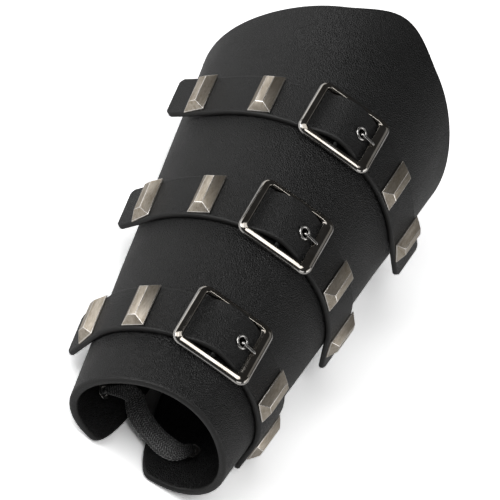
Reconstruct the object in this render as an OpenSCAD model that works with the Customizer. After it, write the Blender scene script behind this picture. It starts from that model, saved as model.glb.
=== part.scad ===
// Leather bracer: one tapered leather shell, open and laced along the back,
// with three strap bands over the front. Each band runs through a centre-bar
// buckle and carries four hipped bar studs.
//
// The pieces are drawn in the arm's own frame: Y runs from the wrist end to
// the elbow end, Z points up through the buckles, and angles are measured
// round the arm from the buckles. The module lying_on_back then sets the
// bracer down on its two back flaps.

/* [Shell] */
// Length from the wrist edge to the peak of the elbow edge
arm_len = 253; // [150:1:320]
// Mean outside radius at the wrist edge
wrist_r = 37; // [28:0.5:50]
// Mean outside radius at the peak of the elbow edge
elbow_r = 66.8; // [45:0.5:85]
// Leather thickness of the shell
wall = 3.8; // [2.5:0.1:5]
// Flattening of the section, front to back
flat_amount = 0.074; // [0:0.002:0.12]
// How much broader the front is than the back
lobe_amount = 0.065; // [0:0.001:0.08]
// Half of the open back, measured round the arm
gap_half = 3.1; // [2.5:0.1:12]
// How far the opening sits to the left of the buckles' opposite side
gap_turn = 4.3; // [0:0.1:6]
// Width of the rounded corners of the back flaps
corner_w = 14; // [4:0.5:20]
// Length of the rounded flap corners at the wrist
wrist_corner_len = 80; // [20:1:90]
// Length of the rounded flap corners at the elbow
elbow_corner_len = 20; // [6:1:30]
// Rise of the pointed crown on the elbow edge
crown_rise = 6; // [0:0.5:15]
// Half width of the crown, round the arm
crown_half = 28; // [12:1:60]
// Fall of the elbow edge for each degree away from the buckles
edge_fall = 0.175; // [0:0.005:0.3]
// Bevel on the cut edges of the shell
rim_bevel = 0.8; // [0.2:0.1:1.5]

/* [Straps] */
// Width of the strap leather
strap_w = 25; // [16:0.5:40]
// Thickness of the strap leather
strap_t = 2.8; // [2:0.1:4]
// Half of the length of each strap, from the wrist up
strap_half = [93.5, 97.5, 99.5]; // [85:0.5:105]
// Middle of the wrist strap, from the wrist edge
wrist_strap_y = 38.5; // [25:0.5:60]
// Middle of the middle strap, from the wrist edge
middle_strap_y = 106.3; // [80:0.5:130]
// Middle of the elbow strap, from the wrist edge
elbow_strap_y = 172.3; // [140:0.5:200]
// Where the wrist strap leaves the shell, along the strap
wrist_free = 67.5; // [55:0.5:80]
// Where the middle strap leaves the shell, along the strap
middle_free = 70; // [55:0.5:80]
// Where the elbow strap leaves the shell, along the strap
elbow_free = 65.5; // [55:0.5:80]
// How far the strap ends drift towards the elbow, per strap from wrist up
strap_drift = [4.4, 8.5, 10]; // [0:0.1:11]
// Cut corners of the strap ends
strap_corner = 2.5; // [0.5:0.5:6]

/* [Bar studs] */
// Length of a stud, across the strap
stud_len = 23.6; // [18:0.2:25]
// Width of a stud at its base
stud_base = 12; // [8:0.2:16]
// Width of the flat top of a stud
stud_top = 4.2; // [1:0.2:7]
// Height of a stud
stud_h = 4.1; // [2:0.1:7]
// Length of the sloping end of a stud
stud_slope = 3.3; // [1:0.1:6]
// How far the studs sit off the strap's middle line, towards the elbow
stud_shift = 0.6; // [0:0.1:1]
// Inner studs, along the strap from the buckle
stud_inner_s = 40.5; // [32:0.5:48]
// Outer studs, from the strap's ends
stud_from_end = 19.7; // [10:0.1:25]
// Diameter of the posts that hold a stud
post_d = 3; // [2:0.1:4]
// Distance between the two posts of a stud
post_pitch = 14; // [8:0.5:16]
// Diameter of the rivet caps inside the shell
cap_d = 7; // [5:0.5:10]

/* [Buckles] */
// Outside length of a buckle, along the strap
buckle_len = 41; // [34:0.5:50]
// Outside width of a buckle, along the arm
buckle_w = 34.8; // [28:0.2:50]
// Width of the bars that form the frame
bar_w = 4.2; // [3:0.1:5]
// Width of the right bar, on which the prong rests
rest_bar_w = 6.2; // [5.2:0.1:7]
// Height of the frame
frame_h = 3.2; // [2.4:0.1:5]
// Outside corner radius of the frame
corner_r = 5.2; // [4.4:0.1:9]
// Diameter of the centre bar
pin_d = 2.2; // [1.8:0.1:3]
// Gap under each frame at rest, per strap from the wrist up
frame_gap = [0.3, 0.7, 1.2]; // [0.2:0.1:3]
// Width of the prong's flat wire
prong_w = 1.6; // [1:0.1:2]
// Thickness of the prong's flat wire
prong_t = 1.2; // [0.8:0.1:1.4]
// Place of the eyelet along the strap, from the buckle's middle
eyelet_s = 7.4; // [7:0.1:8]
// Bore of the strap eyelet
eyelet_bore = 4.3; // [3.6:0.1:4.6]

/* [Lacing] */
// Pairs of lace eyelets along the back
lace_pairs = 8; // [4:2:8]
// First pair, from the wrist edge
lace_first = 24.5; // [22:0.5:40]
// Distance from one pair to the next
lace_pitch = 24; // [16:0.5:26]
// Angle round the arm of the eyelet rows, at the first pair
lace_angle = 139.5; // [130:0.5:144]
// Bore of the lace eyelets
lace_bore = 5; // [4:0.1:7]
// Outside diameter of the lace eyelets' rims
lace_rim_d = 8.4; // [7:0.1:12]
// Width of the flat lace
lace_w = 11; // [6:0.5:11.5]
// Thickness of the flat lace
lace_t = 1.3; // [1:0.1:2]
// How far the slack lace swings to and fro where it spans the back at the wrist
lace_swing = 8.7; // [0:0.1:9]
// How far the slack lace leans towards the wrist opening
lace_lean = 22; // [0:1:25]
// How far the crossings of the lace stand into the bracer
lace_bow = 3; // [2.5:0.5:8]
// Length of the metal tips of the lace
tip_len = 14; // [8:1:24]

/* [Hidden] */
$fn = 48;

leather = [0.17, 0.17, 0.18];
strap_leather = [0.13, 0.13, 0.14];
gunmetal = [0.33, 0.31, 0.30];
nickel = [0.66, 0.63, 0.58];
bright_steel = [0.80, 0.80, 0.80];
lace_grey = [0.20, 0.20, 0.20];

taper = (elbow_r - wrist_r) / arm_len;
lobe_fine = -0.008;
edge_angle = 180 - gap_half;
strap_ys = [wrist_strap_y, middle_strap_y, elbow_strap_y];
strap_frees = [wrist_free, middle_free, elbow_free];

// Leather lies this far off what it covers, and metal this far off leather.
lay = 0.05;
fit = 0.05;
pin_fit = 0.08;

// Height of the centre bar's axis over the frame's underside, and of the
// strap's underside over the bar.
pin_z = frame_h - pin_d / 2;
eye_d = pin_d + 2 * 0.9;
strap_over_pin = 0.15;
// Length along the strap over which it rises to the centre bar
rise_reach = buckle_len / 2 - 0.5;
// Room cut into the strap's underside for the prong
relief = 1.1;

// Form of the shell

// Radius at an angle round the arm, as a share of the mean radius
function plan(a) = 1 - flat_amount * cos(2 * a) + lobe_amount * cos(3 * a) + lobe_fine * cos(4 * a);
function plan_slope(a) = 2 * flat_amount * sin(2 * a) - 3 * lobe_amount * sin(3 * a)
    - 4 * lobe_fine * sin(4 * a);
function mean_r(y) = wrist_r + taper * y;
function shell_at(a, y, off = 0) = let (r = mean_r(y) * plan(a) + off) [r * sin(a), y, r * cos(a)];
function inside_at(a, y, off = 0) = let (r = (mean_r(y) - wall) * plan(a) + off)
    [r * sin(a), y, r * cos(a)];
// Direction square to the section at an angle, and along it
function out_angle(a) = a - atan(plan_slope(a) / plan(a));
function out_dir(a) = [sin(out_angle(a)), 0, cos(out_angle(a))];
function round_dir(a) = [cos(out_angle(a)), 0, -sin(out_angle(a))];

// The elbow edge falls away from its rounded peak.
function elbow_edge(a) = let (b = abs(a))
    arm_len - crown_rise * pow(sin(90 * min(1, b / crown_half)), 2)
    - edge_fall * (sqrt(b * b + 64) - 8);

// Angles of the shell's stations: even steps, closer in the rounded corners.
corner_span = corner_w / (mean_r(0) * plan(edge_angle)) * 180 / PI;
side_steps = 38;
corner_steps = 12;
last_station = side_steps + corner_steps;
// Side is 1 on the right of the buckles and -1 on the left.
function corner_start(side) = edge_angle + side * gap_turn - corner_span;
function side_stations(side) = concat(
    [for (i = [0:side_steps]) corner_start(side) * i / side_steps],
    [for (i = [1:corner_steps]) corner_start(side) + corner_span * sin(90 * i / corner_steps)]
);
stations = concat(
    [for (i = [last_station:-1:1]) -side_stations(-1)[i]],
    side_stations(1)
);
function corner_rise(a, length) =
    let (t = max(0, (abs(a) - corner_start(a < 0 ? -1 : 1)) / corner_span))
    length * (1 - sqrt(max(0, 1 - t * t)));

// A closed solid from rings of points, each ring joined to the next one.
module skin(rings) {
    n = len(rings[0]);
    m = len(rings);
    polyhedron(
        points = [for (ring = rings) each ring],
        faces = concat(
            [[for (j = [0:n - 1]) j]],
            [[for (j = [n - 1:-1:0]) (m - 1) * n + j]],
            [for (i = [0:m - 2]) for (j = [0:n - 1])
                [i * n + j, (i + 1) * n + j, (i + 1) * n + (j + 1) % n, i * n + (j + 1) % n]]
        ),
        convexity = 6
    );
}

function shell_ring(a) = let (
    y0 = corner_rise(a, wrist_corner_len),
    y1 = elbow_edge(a) - corner_rise(a, elbow_corner_len),
    b = rim_bevel
) [
    shell_at(a, y0 + b), shell_at(a, y0, -b), inside_at(a, y0, b), inside_at(a, y0 + b),
    inside_at(a, y1 - b), inside_at(a, y1, b), shell_at(a, y1, -b), shell_at(a, y1 - b)
];

// Course of a strap

// Angles round the arm against the distance travelled round the shell
travel_step = 2;
travel_max = 60;
function travel(y, i = 0, s = 0) = i > travel_max ? [] :
    let (
        a = i * travel_step,
        hop = norm(shell_at(a + travel_step, y) - shell_at(a, y))
    ) concat([[s, a]], travel(y, i + 1, s + hop));
travels = [for (y = strap_ys) travel(y)];
function angle_at(k, s) = sign(s) * lookup(abs(s), travels[k]);

// Rise of the strap over the centre bar
function lift(k, s) = abs(s) >= rise_reach ? 0 :
    (frame_gap[k] + pin_z + pin_d / 2 + strap_over_pin - lay)
    * pow(cos(90 * s / rise_reach), 2);
function drift(k, s) = strap_drift[k] * pow(s / strap_half[k], 2);
function end_cut(k, s) = max(0, abs(s) - strap_half[k] + strap_corner);

// A point on the strap: along it, across it from its middle line, and off
// the shell. Past its free point the strap runs on straight.
function strap_at(k, s, v, off) = let (
    free = strap_frees[k],
    held = min(abs(s), free) * sign(s),
    a = angle_at(k, held),
    y = strap_ys[k] + v + drift(k, s)
) shell_at(a, y) + out_dir(a) * (off + lay + lift(k, s)) + round_dir(a) * (s - held);

// Places along a strap: close together over the centre bar
last_step = 21;
function strap_stations(k) = let (
    inner = rise_reach + 3,
    outer = strap_half[k] - strap_corner - 2,
    side = [for (i = [0:last_step]) inner + (outer - inner) * i / last_step]
) concat(
    [-strap_half[k], -strap_half[k] + strap_corner],
    [for (i = [last_step:-1:0]) -side[i]],
    [for (i = [-20:20]) i * rise_reach / 20],
    side,
    [strap_half[k] - strap_corner, strap_half[k]]
);
function strap_ring(k, s) = let (w = strap_w / 2 - end_cut(k, s)) [
    strap_at(k, s, -w, 0), strap_at(k, s, w, 0),
    strap_at(k, s, w, strap_t), strap_at(k, s, -w, strap_t)
];

// Sets children on a strap's upper face: X along the strap, Y along the arm
// and Z away from the leather.
module on_strap(k, s) {
    o = strap_at(k, s, 0, strap_t);
    x0 = strap_at(k, s + 0.5, 0, strap_t) - strap_at(k, s - 0.5, 0, strap_t);
    y0 = strap_at(k, s, 1, strap_t) - strap_at(k, s, -1, strap_t);
    ey = y0 / norm(y0);
    ez = cross(x0, ey) / norm(cross(x0, ey));
    ex = cross(ey, ez);
    multmatrix([
        [ex[0], ey[0], ez[0], o[0]],
        [ex[1], ey[1], ez[1], o[1]],
        [ex[2], ey[2], ez[2], o[2]],
        [0, 0, 0, 1]
    ]) children();
}

// Sets children in a buckle's frame: its origin is the middle of the
// underside, X along the strap, Y along the arm.
buckle_tilt = atan(taper * plan(0));
module at_buckle(k) {
    translate(shell_at(0, strap_ys[k], frame_gap[k])) rotate([buckle_tilt, 0, 0]) children();
}

// Straps and shell

function stud_outer_s(k) = strap_half[k] - stud_from_end;
// Places of a stud's two posts, across the strap
post_ys = [stud_shift - post_pitch / 2, stud_shift + post_pitch / 2];

module stud_post_holes(k) {
    for (s = [-stud_outer_s(k), -stud_inner_s, stud_inner_s, stud_outer_s(k)])
        on_strap(k, s)
            for (y = post_ys)
                translate([0, y, -strap_t - 1])
                    cylinder(d = post_d + 2 * fit, h = strap_t + 2);
}

sunk_cap_d = cap_d - 0.6;
sunk_cap_t = 0.7;

module sunk_cap_seats(k) {
    for (s = [-stud_outer_s(k), stud_outer_s(k)])
        on_strap(k, s)
            for (y = post_ys)
                translate([0, y, -strap_t - 1])
                    cylinder(d = sunk_cap_d + 2 * fit, h = 1 + sunk_cap_t + fit);
}

eyelet_tube_d = eyelet_bore + 0.8;
eyelet_rim_d = eyelet_bore + 2.8;

module strap(k) {
    difference() {
        skin([for (s = strap_stations(k)) strap_ring(k, s)]);
        stud_post_holes(k);
        sunk_cap_seats(k);
        on_strap(k, eyelet_s) {
            translate([0, 0, -strap_t - 3])
                cylinder(d = eyelet_tube_d + 2 * fit, h = strap_t + 6);
            translate([0, 0, -strap_t - 3])
                cylinder(d = eyelet_rim_d + 4 * fit, h = relief + 3);
        }
        at_buckle(k) {
            translate([-eye_d / 2 - 0.6, -prong_w / 2 - 0.8, 0])
                cube([eye_d + 1.2, prong_w + 1.6, pin_z + eye_d / 2 + 0.25]);
            translate([0, -prong_w / 2 - 0.6, -1])
                cube([eyelet_place(k)[0] - 1.7, prong_w + 1.2, pin_z + 1.9]);
        }
    }
}

module shell() {
    color(leather)
    lying_on_back()
    difference() {
        skin([for (a = stations) shell_ring(a)]);
        for (k = [0:2])
            for (s = [-stud_inner_s, stud_inner_s])
                on_strap(k, s)
                    for (y = post_ys)
                        translate([0, y, -strap_t - wall - 4])
                            cylinder(d = post_d + 2 * fit, h = wall + strap_t + 5);
        for (side = [-1, 1])
            for (i = [0:lace_pairs - 1])
                on_flap(side, i)
                    translate([0, 0, -wall - 4])
                        cylinder(d = lace_tube_d + 2 * fit, h = wall + 8);
    }
}

module strap_wrist() {
    color(strap_leather) lying_on_back() strap(0);
}
module strap_middle() {
    color(strap_leather) lying_on_back() strap(1);
}
module strap_elbow() {
    color(strap_leather) lying_on_back() strap(2);
}

// Bar studs and what holds them

cap_t = 1.1;
// Depth of the shell's inner face under a stud
function inner_depth(k, s) = let (a = angle_at(k, s))
    strap_t + lay + wall * plan(a) * cos(a - out_angle(a));
cap_stand = 0.3;

module stud(k, s, post_len) {
    half_len = stud_len / 2;
    color(nickel)
    lying_on_back()
    on_strap(k, s)
    translate([0, stud_shift, lay]) {
        intersection() {
            rotate([90, 0, 0])
                translate([0, 0, -half_len])
                    linear_extrude(stud_len)
                        polygon([
                            [-stud_base / 2, 0], [stud_base / 2, 0],
                            [stud_base / 2, 0.6], [stud_top / 2, stud_h],
                            [-stud_top / 2, stud_h], [-stud_base / 2, 0.6]
                        ]);
            rotate([90, 0, 90])
                translate([0, 0, -stud_base / 2])
                    linear_extrude(stud_base)
                        polygon([
                            [-half_len, 0], [half_len, 0],
                            [half_len, 0.6], [half_len - stud_slope, stud_h],
                            [-half_len + stud_slope, stud_h], [-half_len, 0.6]
                        ]);
        }
        for (v = [-1, 1])
            translate([0, v * post_pitch / 2, -post_len])
                cylinder(d = post_d, h = post_len + 0.5);
    }
}

module inner_stud(k, side) {
    s = side * stud_inner_s;
    stud(k, s, inner_depth(k, s) + cap_stand + cap_t / 2);
}
module outer_stud(k, side) {
    stud(k, side * stud_outer_s(k), strap_t - sunk_cap_t / 2);
}

module stud_wrist_left_outer() {
    outer_stud(0, -1);
}
module stud_wrist_left_inner() {
    inner_stud(0, -1);
}
module stud_wrist_right_inner() {
    inner_stud(0, 1);
}
module stud_wrist_right_outer() {
    outer_stud(0, 1);
}
module stud_middle_left_outer() {
    outer_stud(1, -1);
}
module stud_middle_left_inner() {
    inner_stud(1, -1);
}
module stud_middle_right_inner() {
    inner_stud(1, 1);
}
module stud_middle_right_outer() {
    outer_stud(1, 1);
}
module stud_elbow_left_outer() {
    outer_stud(2, -1);
}
module stud_elbow_left_inner() {
    inner_stud(2, -1);
}
module stud_elbow_right_inner() {
    inner_stud(2, 1);
}
module stud_elbow_right_outer() {
    outer_stud(2, 1);
}

module rivet_cap(d, t) {
    difference() {
        cylinder(d = d, h = t);
        translate([0, 0, t / 2 - fit])
            cylinder(d = post_d + 2 * fit, h = t);
    }
}

module rivet_caps(k) {
    color(nickel)
    lying_on_back()
    for (side = [-1, 1]) {
        on_strap(k, side * stud_inner_s)
            for (y = post_ys)
                translate([
                    0, y,
                    lay - inner_depth(k, side * stud_inner_s) - cap_stand - cap_t
                ])
                    rivet_cap(cap_d, cap_t);
        on_strap(k, side * stud_outer_s(k))
            for (y = post_ys)
                translate([0, y, -strap_t])
                    rivet_cap(sunk_cap_d, sunk_cap_t);
    }
}

module rivet_caps_wrist() {
    rivet_caps(0);
}
module rivet_caps_middle() {
    rivet_caps(1);
}
module rivet_caps_elbow() {
    rivet_caps(2);
}

// Buckles

// Side view of a frame bar: outward to the right, up to the top
bar_profile = [
    [0, 0.5], [0.5, 0], [bar_w - 0.5, 0], [bar_w, 0.6],
    [bar_w, frame_h * 0.45], [bar_w * 0.68, frame_h],
    [bar_w * 0.3, frame_h], [0, frame_h * 0.6]
];

// The wider flat of the right bar. The strap passes under its inner edge.
rest_bar_profile = [
    [0, frame_h - 1.1], [rest_bar_w - bar_w, 0.65], [rest_bar_w - bar_w + 0.6, 0],
    [rest_bar_w - bar_w / 2, 0], [rest_bar_w - bar_w / 2, frame_h],
    [0.45, frame_h], [0, frame_h - 0.45]
];
rest_bar_len = buckle_w - 1.4 * bar_w;

module frame_side(length) {
    rotate([90, 0, 0])
        translate([0, 0, -length / 2])
            linear_extrude(length)
                polygon(bar_profile);
}

module buckle_frame(k) {
    in_r = corner_r - bar_w;
    half_x = buckle_len / 2 - corner_r;
    half_y = buckle_w / 2 - corner_r;
    color(gunmetal)
    lying_on_back()
    at_buckle(k) {
        for (m = [0, 1])
            mirror([m, 0, 0])
                translate([half_x + in_r, 0, 0])
                    frame_side(2 * half_y);
        for (turn = [90, 270])
            rotate([0, 0, turn])
                translate([half_y + in_r, 0, 0])
                    frame_side(2 * half_x);
        for (mx = [0, 1])
            for (my = [0, 1])
                mirror([mx, 0, 0])
                    mirror([0, my, 0])
                        translate([half_x, half_y, 0])
                            rotate_extrude(angle = 90)
                                translate([in_r, 0])
                                    polygon(bar_profile);
        translate([buckle_len / 2 - rest_bar_w, 0, 0])
            rotate([90, 0, 0])
                translate([0, 0, -rest_bar_len / 2])
                    linear_extrude(rest_bar_len)
                        polygon(rest_bar_profile);
        translate([0, 0, pin_z])
            rotate([90, 0, 0])
                translate([0, 0, -buckle_w / 2 + bar_w / 2])
                    cylinder(d = pin_d, h = buckle_w - bar_w);
    }
}
module buckle_frame_wrist() {
    buckle_frame(0);
}
module buckle_frame_middle() {
    buckle_frame(1);
}
module buckle_frame_elbow() {
    buckle_frame(2);
}

// The eyelet's place on the strap's face, and its axis, in the buckle's frame
function in_buckle(k, p) = let (q = p - shell_at(0, strap_ys[k], frame_gap[k]))
    [q[0], q[2] * cos(buckle_tilt) - q[1] * sin(buckle_tilt)];
function eyelet_place(k) = in_buckle(k, strap_at(k, eyelet_s, 0, strap_t));
function eyelet_axis(k) = let (
    d = in_buckle(k, strap_at(k, eyelet_s + 0.5, 0, strap_t))
        - in_buckle(k, strap_at(k, eyelet_s - 0.5, 0, strap_t))
) [-d[1], d[0]] / norm(d);

// The prong's wire dips under the strap, comes up through the eyelet and
// lies on the right bar. Its middle line is given in the buckle's frame.
prong_rest = frame_h + prong_t / 2 + fit;
function prong_line(k) = let (
    e = eyelet_place(k),
    up = eyelet_axis(k),
    right = [up[1], -up[0]],
    under = e - up * (strap_t + 0.1) - right * 0.15,
    bar_edge = buckle_len / 2 - rest_bar_w
) [
    [1.2, pin_z - 1.1], [4, pin_z - 1.1], under - [1.2, 0.1], under,
    e + up * 0.9 + right * 0.2, e + up * (1 + prong_t / 2) + right * (eyelet_bore / 2 + 0.2),
    [bar_edge + 0.6, prong_rest], [bar_edge + 2.2, prong_rest]
];
function wire_side(line, i, side) = let (
    last = len(line) - 1,
    d = line[min(i + 1, last)] - line[max(i - 1, 0)],
    n = [-d[1], d[0]] / norm(d)
) line[i] + n * side * (i == last ? 0.3 : prong_t / 2);

module buckle_prong(k) {
    line = prong_line(k);
    n = len(line);
    color(bright_steel)
    lying_on_back()
    at_buckle(k)
    difference() {
        union() {
            translate([0, 0, pin_z])
                rotate([90, 0, 0])
                    cylinder(d = eye_d, h = prong_w + 0.8, center = true);
            rotate([90, 0, 0])
                linear_extrude(prong_w, center = true)
                    polygon(concat(
                        [for (i = [0:n - 1]) wire_side(line, i, 1)],
                        [for (i = [n - 1:-1:0]) wire_side(line, i, -1)]
                    ));
        }
        translate([0, 0, pin_z])
            rotate([90, 0, 0])
                cylinder(d = pin_d + 2 * pin_fit, h = prong_w + 4, center = true);
    }
}
module buckle_prong_wrist() {
    buckle_prong(0);
}
module buckle_prong_middle() {
    buckle_prong(1);
}
module buckle_prong_elbow() {
    buckle_prong(2);
}

// A pressed eyelet: a tube with a rolled rim on each side of the leather
module eyelet(bore, tube, rim, thick, roll, back_roll) {
    rotate_extrude()
        union() {
            translate([bore / 2, -thick - back_roll])
                square([(tube - bore) / 2, thick + back_roll + roll * 0.4]);
            translate([bore / 2 + 0.1, 0])
                polygon([
                    [0, 0], [(rim - bore) / 2 - 0.1, 0], [(rim - bore) / 2 - 0.1, roll * 0.35],
                    [(rim - bore) / 2 - 0.35, roll * 0.85], [(rim - bore) / 4, roll],
                    [0.05, roll * 0.75]
                ]);
            translate([bore / 2, -thick - back_roll])
                square([(rim - bore) / 2, back_roll]);
        }
}

module prong_eyelet(k) {
    color(bright_steel)
    lying_on_back()
    on_strap(k, eyelet_s)
    translate([0, 0, lay])
        eyelet(eyelet_bore, eyelet_tube_d, eyelet_rim_d, strap_t - relief + 2 * lay, 0.7, 0.4);
}
module prong_eyelet_wrist() {
    prong_eyelet(0);
}
module prong_eyelet_middle() {
    prong_eyelet(1);
}
module prong_eyelet_elbow() {
    prong_eyelet(2);
}

// Lacing along the open back

lace_tube_d = lace_bore + 1;
// How far a lace eyelet's rolled rims stand off the leather, outside and inside
outside_rim = 0.7;
inside_rim = 1.1;
function row_y(i) = lace_first + lace_pitch * i;
function row_angle(i) = lace_angle + 0.008 * lace_pitch * i;
function flap_depth(i) = let (a = row_angle(i)) wall * plan(a) * cos(a - out_angle(a));

// Sets children on the outside of a back flap at an eyelet: Y along the arm,
// Z away from the leather.
module on_flap(side, i) {
    a = side * row_angle(i);
    translate(shell_at(a, row_y(i)))
        rotate([0, out_angle(a), 0])
            rotate([buckle_tilt, 0, 0])
                children();
}

module lace_eyelets(side) {
    color(nickel)
    lying_on_back()
    for (i = [0:lace_pairs - 1])
        on_flap(side, i)
            translate([0, 0, outside_rim - 0.6])
                eyelet(
                    lace_bore, lace_tube_d, lace_rim_d,
                    flap_depth(i) + inside_rim + outside_rim - 1.1, 0.6, 0.5
                );
}
module lace_eyelets_left() {
    lace_eyelets(-1);
}
module lace_eyelets_right() {
    lace_eyelets(1);
}

// The lace is one strip. Each place along it is
// [point, direction of its width, width, thickness].
thread_w = 3.4;
thread_t = 2.6;
tip_d = 3.7;
along = [0, 1, 0];
over_rim = outside_rim + lace_t / 2 + 0.12;
function under_rim(i) = -flap_depth(i) - inside_rim - 0.3 - lace_t / 2;
function flap_point(side, i, off, up = 0) =
    shell_at(side * row_angle(i), row_y(i) + up) + out_dir(side * row_angle(i)) * off;
// A point on the axis of an eyelet
function bore_point(side, i, off) = flap_point(side, i, off, -off * tan(buckle_tilt));

// From the inside of an eyelet to its outside
function thread_out(side, i) = [
    [bore_point(side, i, under_rim(i) - 0.4), along, thread_w + 0.8, thread_t - 0.8],
    [bore_point(side, i, -flap_depth(i)), along, thread_w, thread_t],
    [flap_point(side, i, 0), along, thread_w, thread_t]
];
function turned(list) = [for (i = [len(list) - 1:-1:0]) list[i]];

// Along the outside from one eyelet to the next one towards the elbow
function outside_run(side, i) = let (across = round_dir(side * row_angle(i))) [
    [flap_point(side, i, over_rim, 1.4), along + across, thread_w - 0.3, thread_t - 1.2],
    [flap_point(side, i, over_rim, 5.2), across, lace_w * 0.58, lace_t],
    for (f = [0.38, 0.5, 0.62])
        [flap_point(side, i, 0.35 + lace_t / 2, lace_pitch * f), across, lace_w * 0.73, lace_t],
    [flap_point(side, i, over_rim, lace_pitch - 5.2), across, lace_w * 0.58, lace_t],
    [flap_point(side, i, over_rim, lace_pitch - 1.4), across - along, thread_w - 0.3, thread_t - 1.2]
];

// Across the open back on the inside, between two eyelets
function crossing(side_a, i, side_b, j, bow) = let (
    a = bore_point(side_a, i, under_rim(i)),
    b = bore_point(side_b, j, under_rim(j)),
    flat = [a[1] - b[1], b[0] - a[0], 0] / norm([b[0] - a[0], b[1] - a[1]])
) [
    for (f = [0.15, 0.32, 0.5, 0.68, 0.85]) [
        a + (b - a) * f + [0, 0, bow * sin(180 * f)],
        flat, lace_w * (0.54 + 0.36 * sin(180 * f)), lace_t
    ]
];

// The slack span at the wrist: share of the span, swing, rise, share of the width
slack = [[0.23, 0.72, 0, 0.84], [0.39, -0.1, -0.3, 1], [0.63, -0.72, 0.3, 1],
         [0.81, -0.95, 1.8, 1], [0.93, -0.62, 2, 0.68]];
function slack_span() = let (
    a = bore_point(-1, 0, under_rim(0)),
    b = bore_point(1, 0, under_rim(0)),
    line = concat([a], [for (c = slack) a + (b - a) * c[0] + [0, lace_swing * c[1], c[2]]], [b]),
    up = [0, -sin(lace_lean), cos(lace_lean)]
) [
    for (i = [1:len(slack)])
        let (flat = cross(up, line[i + 1] - line[i - 1]))
        [line[i], flat / norm(flat), lace_w * slack[i - 1][3], lace_t]
];

// The end of the lace lies inside the flap and points to the elbow.
tail_reach = 15;
tail_w = 2.2;
tail_t = 1.6;
function tail(side, i) = let (
    a = side * row_angle(i),
    across = round_dir(a)
) [
    for (step = [[6, 0.5 * lace_w, lace_t], [10, 0.44 * lace_w, lace_t],
                 [tail_reach, tail_w, tail_t], [tail_reach + 5, tail_w, tail_t]])
        [flap_point(side, i, under_rim(i) - 1.5, step[0]), across, step[1], step[2]]
];

// One half of the lace, from its wrist pair to its tip
function half_lace(side, i, bow) = let (
    run = concat(thread_out(side, i), outside_run(side, i), turned(thread_out(side, i + 1)))
) i + 2 >= lace_pairs
    ? concat(run, tail(side, i + 1))
    : concat(run, crossing(side, i + 1, -side, i + 2, bow), half_lace(-side, i + 2, bow));
lace_course = concat(
    turned(half_lace(-1, 0, lace_bow)),
    slack_span(),
    half_lace(1, 0, lace_bow + lace_t + 1.2)
);

// Keeps the width's direction from flipping from one place to the next
function steady(list, i = 0, last = [0, 1, 0]) = i >= len(list) ? [] :
    let (w = list[i][1] / norm(list[i][1]), kept = w * last < 0 ? -w : w)
    concat([[list[i][0], kept, list[i][2], list[i][3]]], steady(list, i + 1, kept));

// Rounds the course: a smooth curve through its places
function between(p, q, r, s, t) =
    0.5 * (2 * q + (r - p) * t + (2 * p - 5 * q + 4 * r - s) * t * t
    + (3 * q - p - 3 * r + s) * t * t * t);
function smooth_course(list, steps) = let (last = len(list) - 1) concat(
    [for (i = [0:last - 1]) for (j = [0:steps - 1])
        let (
            p = list[max(i - 1, 0)],
            q = list[i],
            r = list[i + 1],
            s = list[min(i + 2, last)]
        )
        [for (part = [0:3]) between(p[part], q[part], r[part], s[part], j / steps)]],
    [list[last]]
);
lace_places = smooth_course(steady(lace_course), 2);

function heading(list, i) = let (
    d = list[min(i + 1, len(list) - 1)][0] - list[max(i - 1, 0)][0]
) d / norm(d);
function lace_ring(i) = let (
    place = lace_places[i],
    t = heading(lace_places, i),
    w0 = place[1] - t * (t * place[1]),
    w = w0 / norm(w0),
    u = cross(t, w),
    hw = place[2] / 2,
    ht = place[3] / 2
) [for (c = [[1, 0.3], [0.7, 1], [-0.7, 1], [-1, 0.3], [-1, -0.3], [-0.7, -1], [0.7, -1], [1, -0.3]])
    place[0] + w * hw * c[0] + u * ht * c[1]];

module lace() {
    color(lace_grey)
    lying_on_back()
        skin([for (i = [0:len(lace_places) - 1]) lace_ring(i)]);
}

// Metal tips clamped over the lace's two ends
module lace_tips() {
    last = len(lace_course) - 1;
    color(nickel)
    lying_on_back()
    for (end = [[0, 1], [last, last - 1]]) {
        p = lace_course[end[0]][0];
        d = (p - lace_course[end[1]][0]) / norm(p - lace_course[end[1]][0]);
        translate(p - d * 3.5)
            rotate([0, acos(d[2]), atan2(d[1], d[0])])
                difference() {
                    union() {
                        cylinder(d = tip_d, h = tip_len - 1);
                        translate([0, 0, tip_len - 1]) cylinder(d1 = tip_d, d2 = tip_d - 1.1, h = 1);
                    }
                    translate([0, 0, -1]) cylinder(d = tip_d - 0.8, h = 6);
                }
    }
}

// Placing of the finished pieces

// The back flaps touch the ground along their whole length. The origin is
// the middle of the bracer's footprint.
rest_angle = min(edge_angle - 4, 166);
rest_tilt = atan(-taper * plan(rest_angle) * cos(rest_angle));
function rested(p) = [
    p[0],
    p[1] * cos(rest_tilt) - p[2] * sin(rest_tilt),
    p[2] * cos(rest_tilt) + p[1] * sin(rest_tilt)
];
shell_places = [for (a = stations) each [for (p = shell_ring(a)) rested(p)]];
rest_low = min([for (p = shell_places) p[2]]);
rest_front = min([for (p = shell_places) p[1]]);
rest_back = max([for (p = shell_places) p[1]]);
module lying_on_back() {
    translate([0, -(rest_front + rest_back) / 2, -rest_low])
        rotate([rest_tilt, 0, 0])
            children();
}

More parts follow.
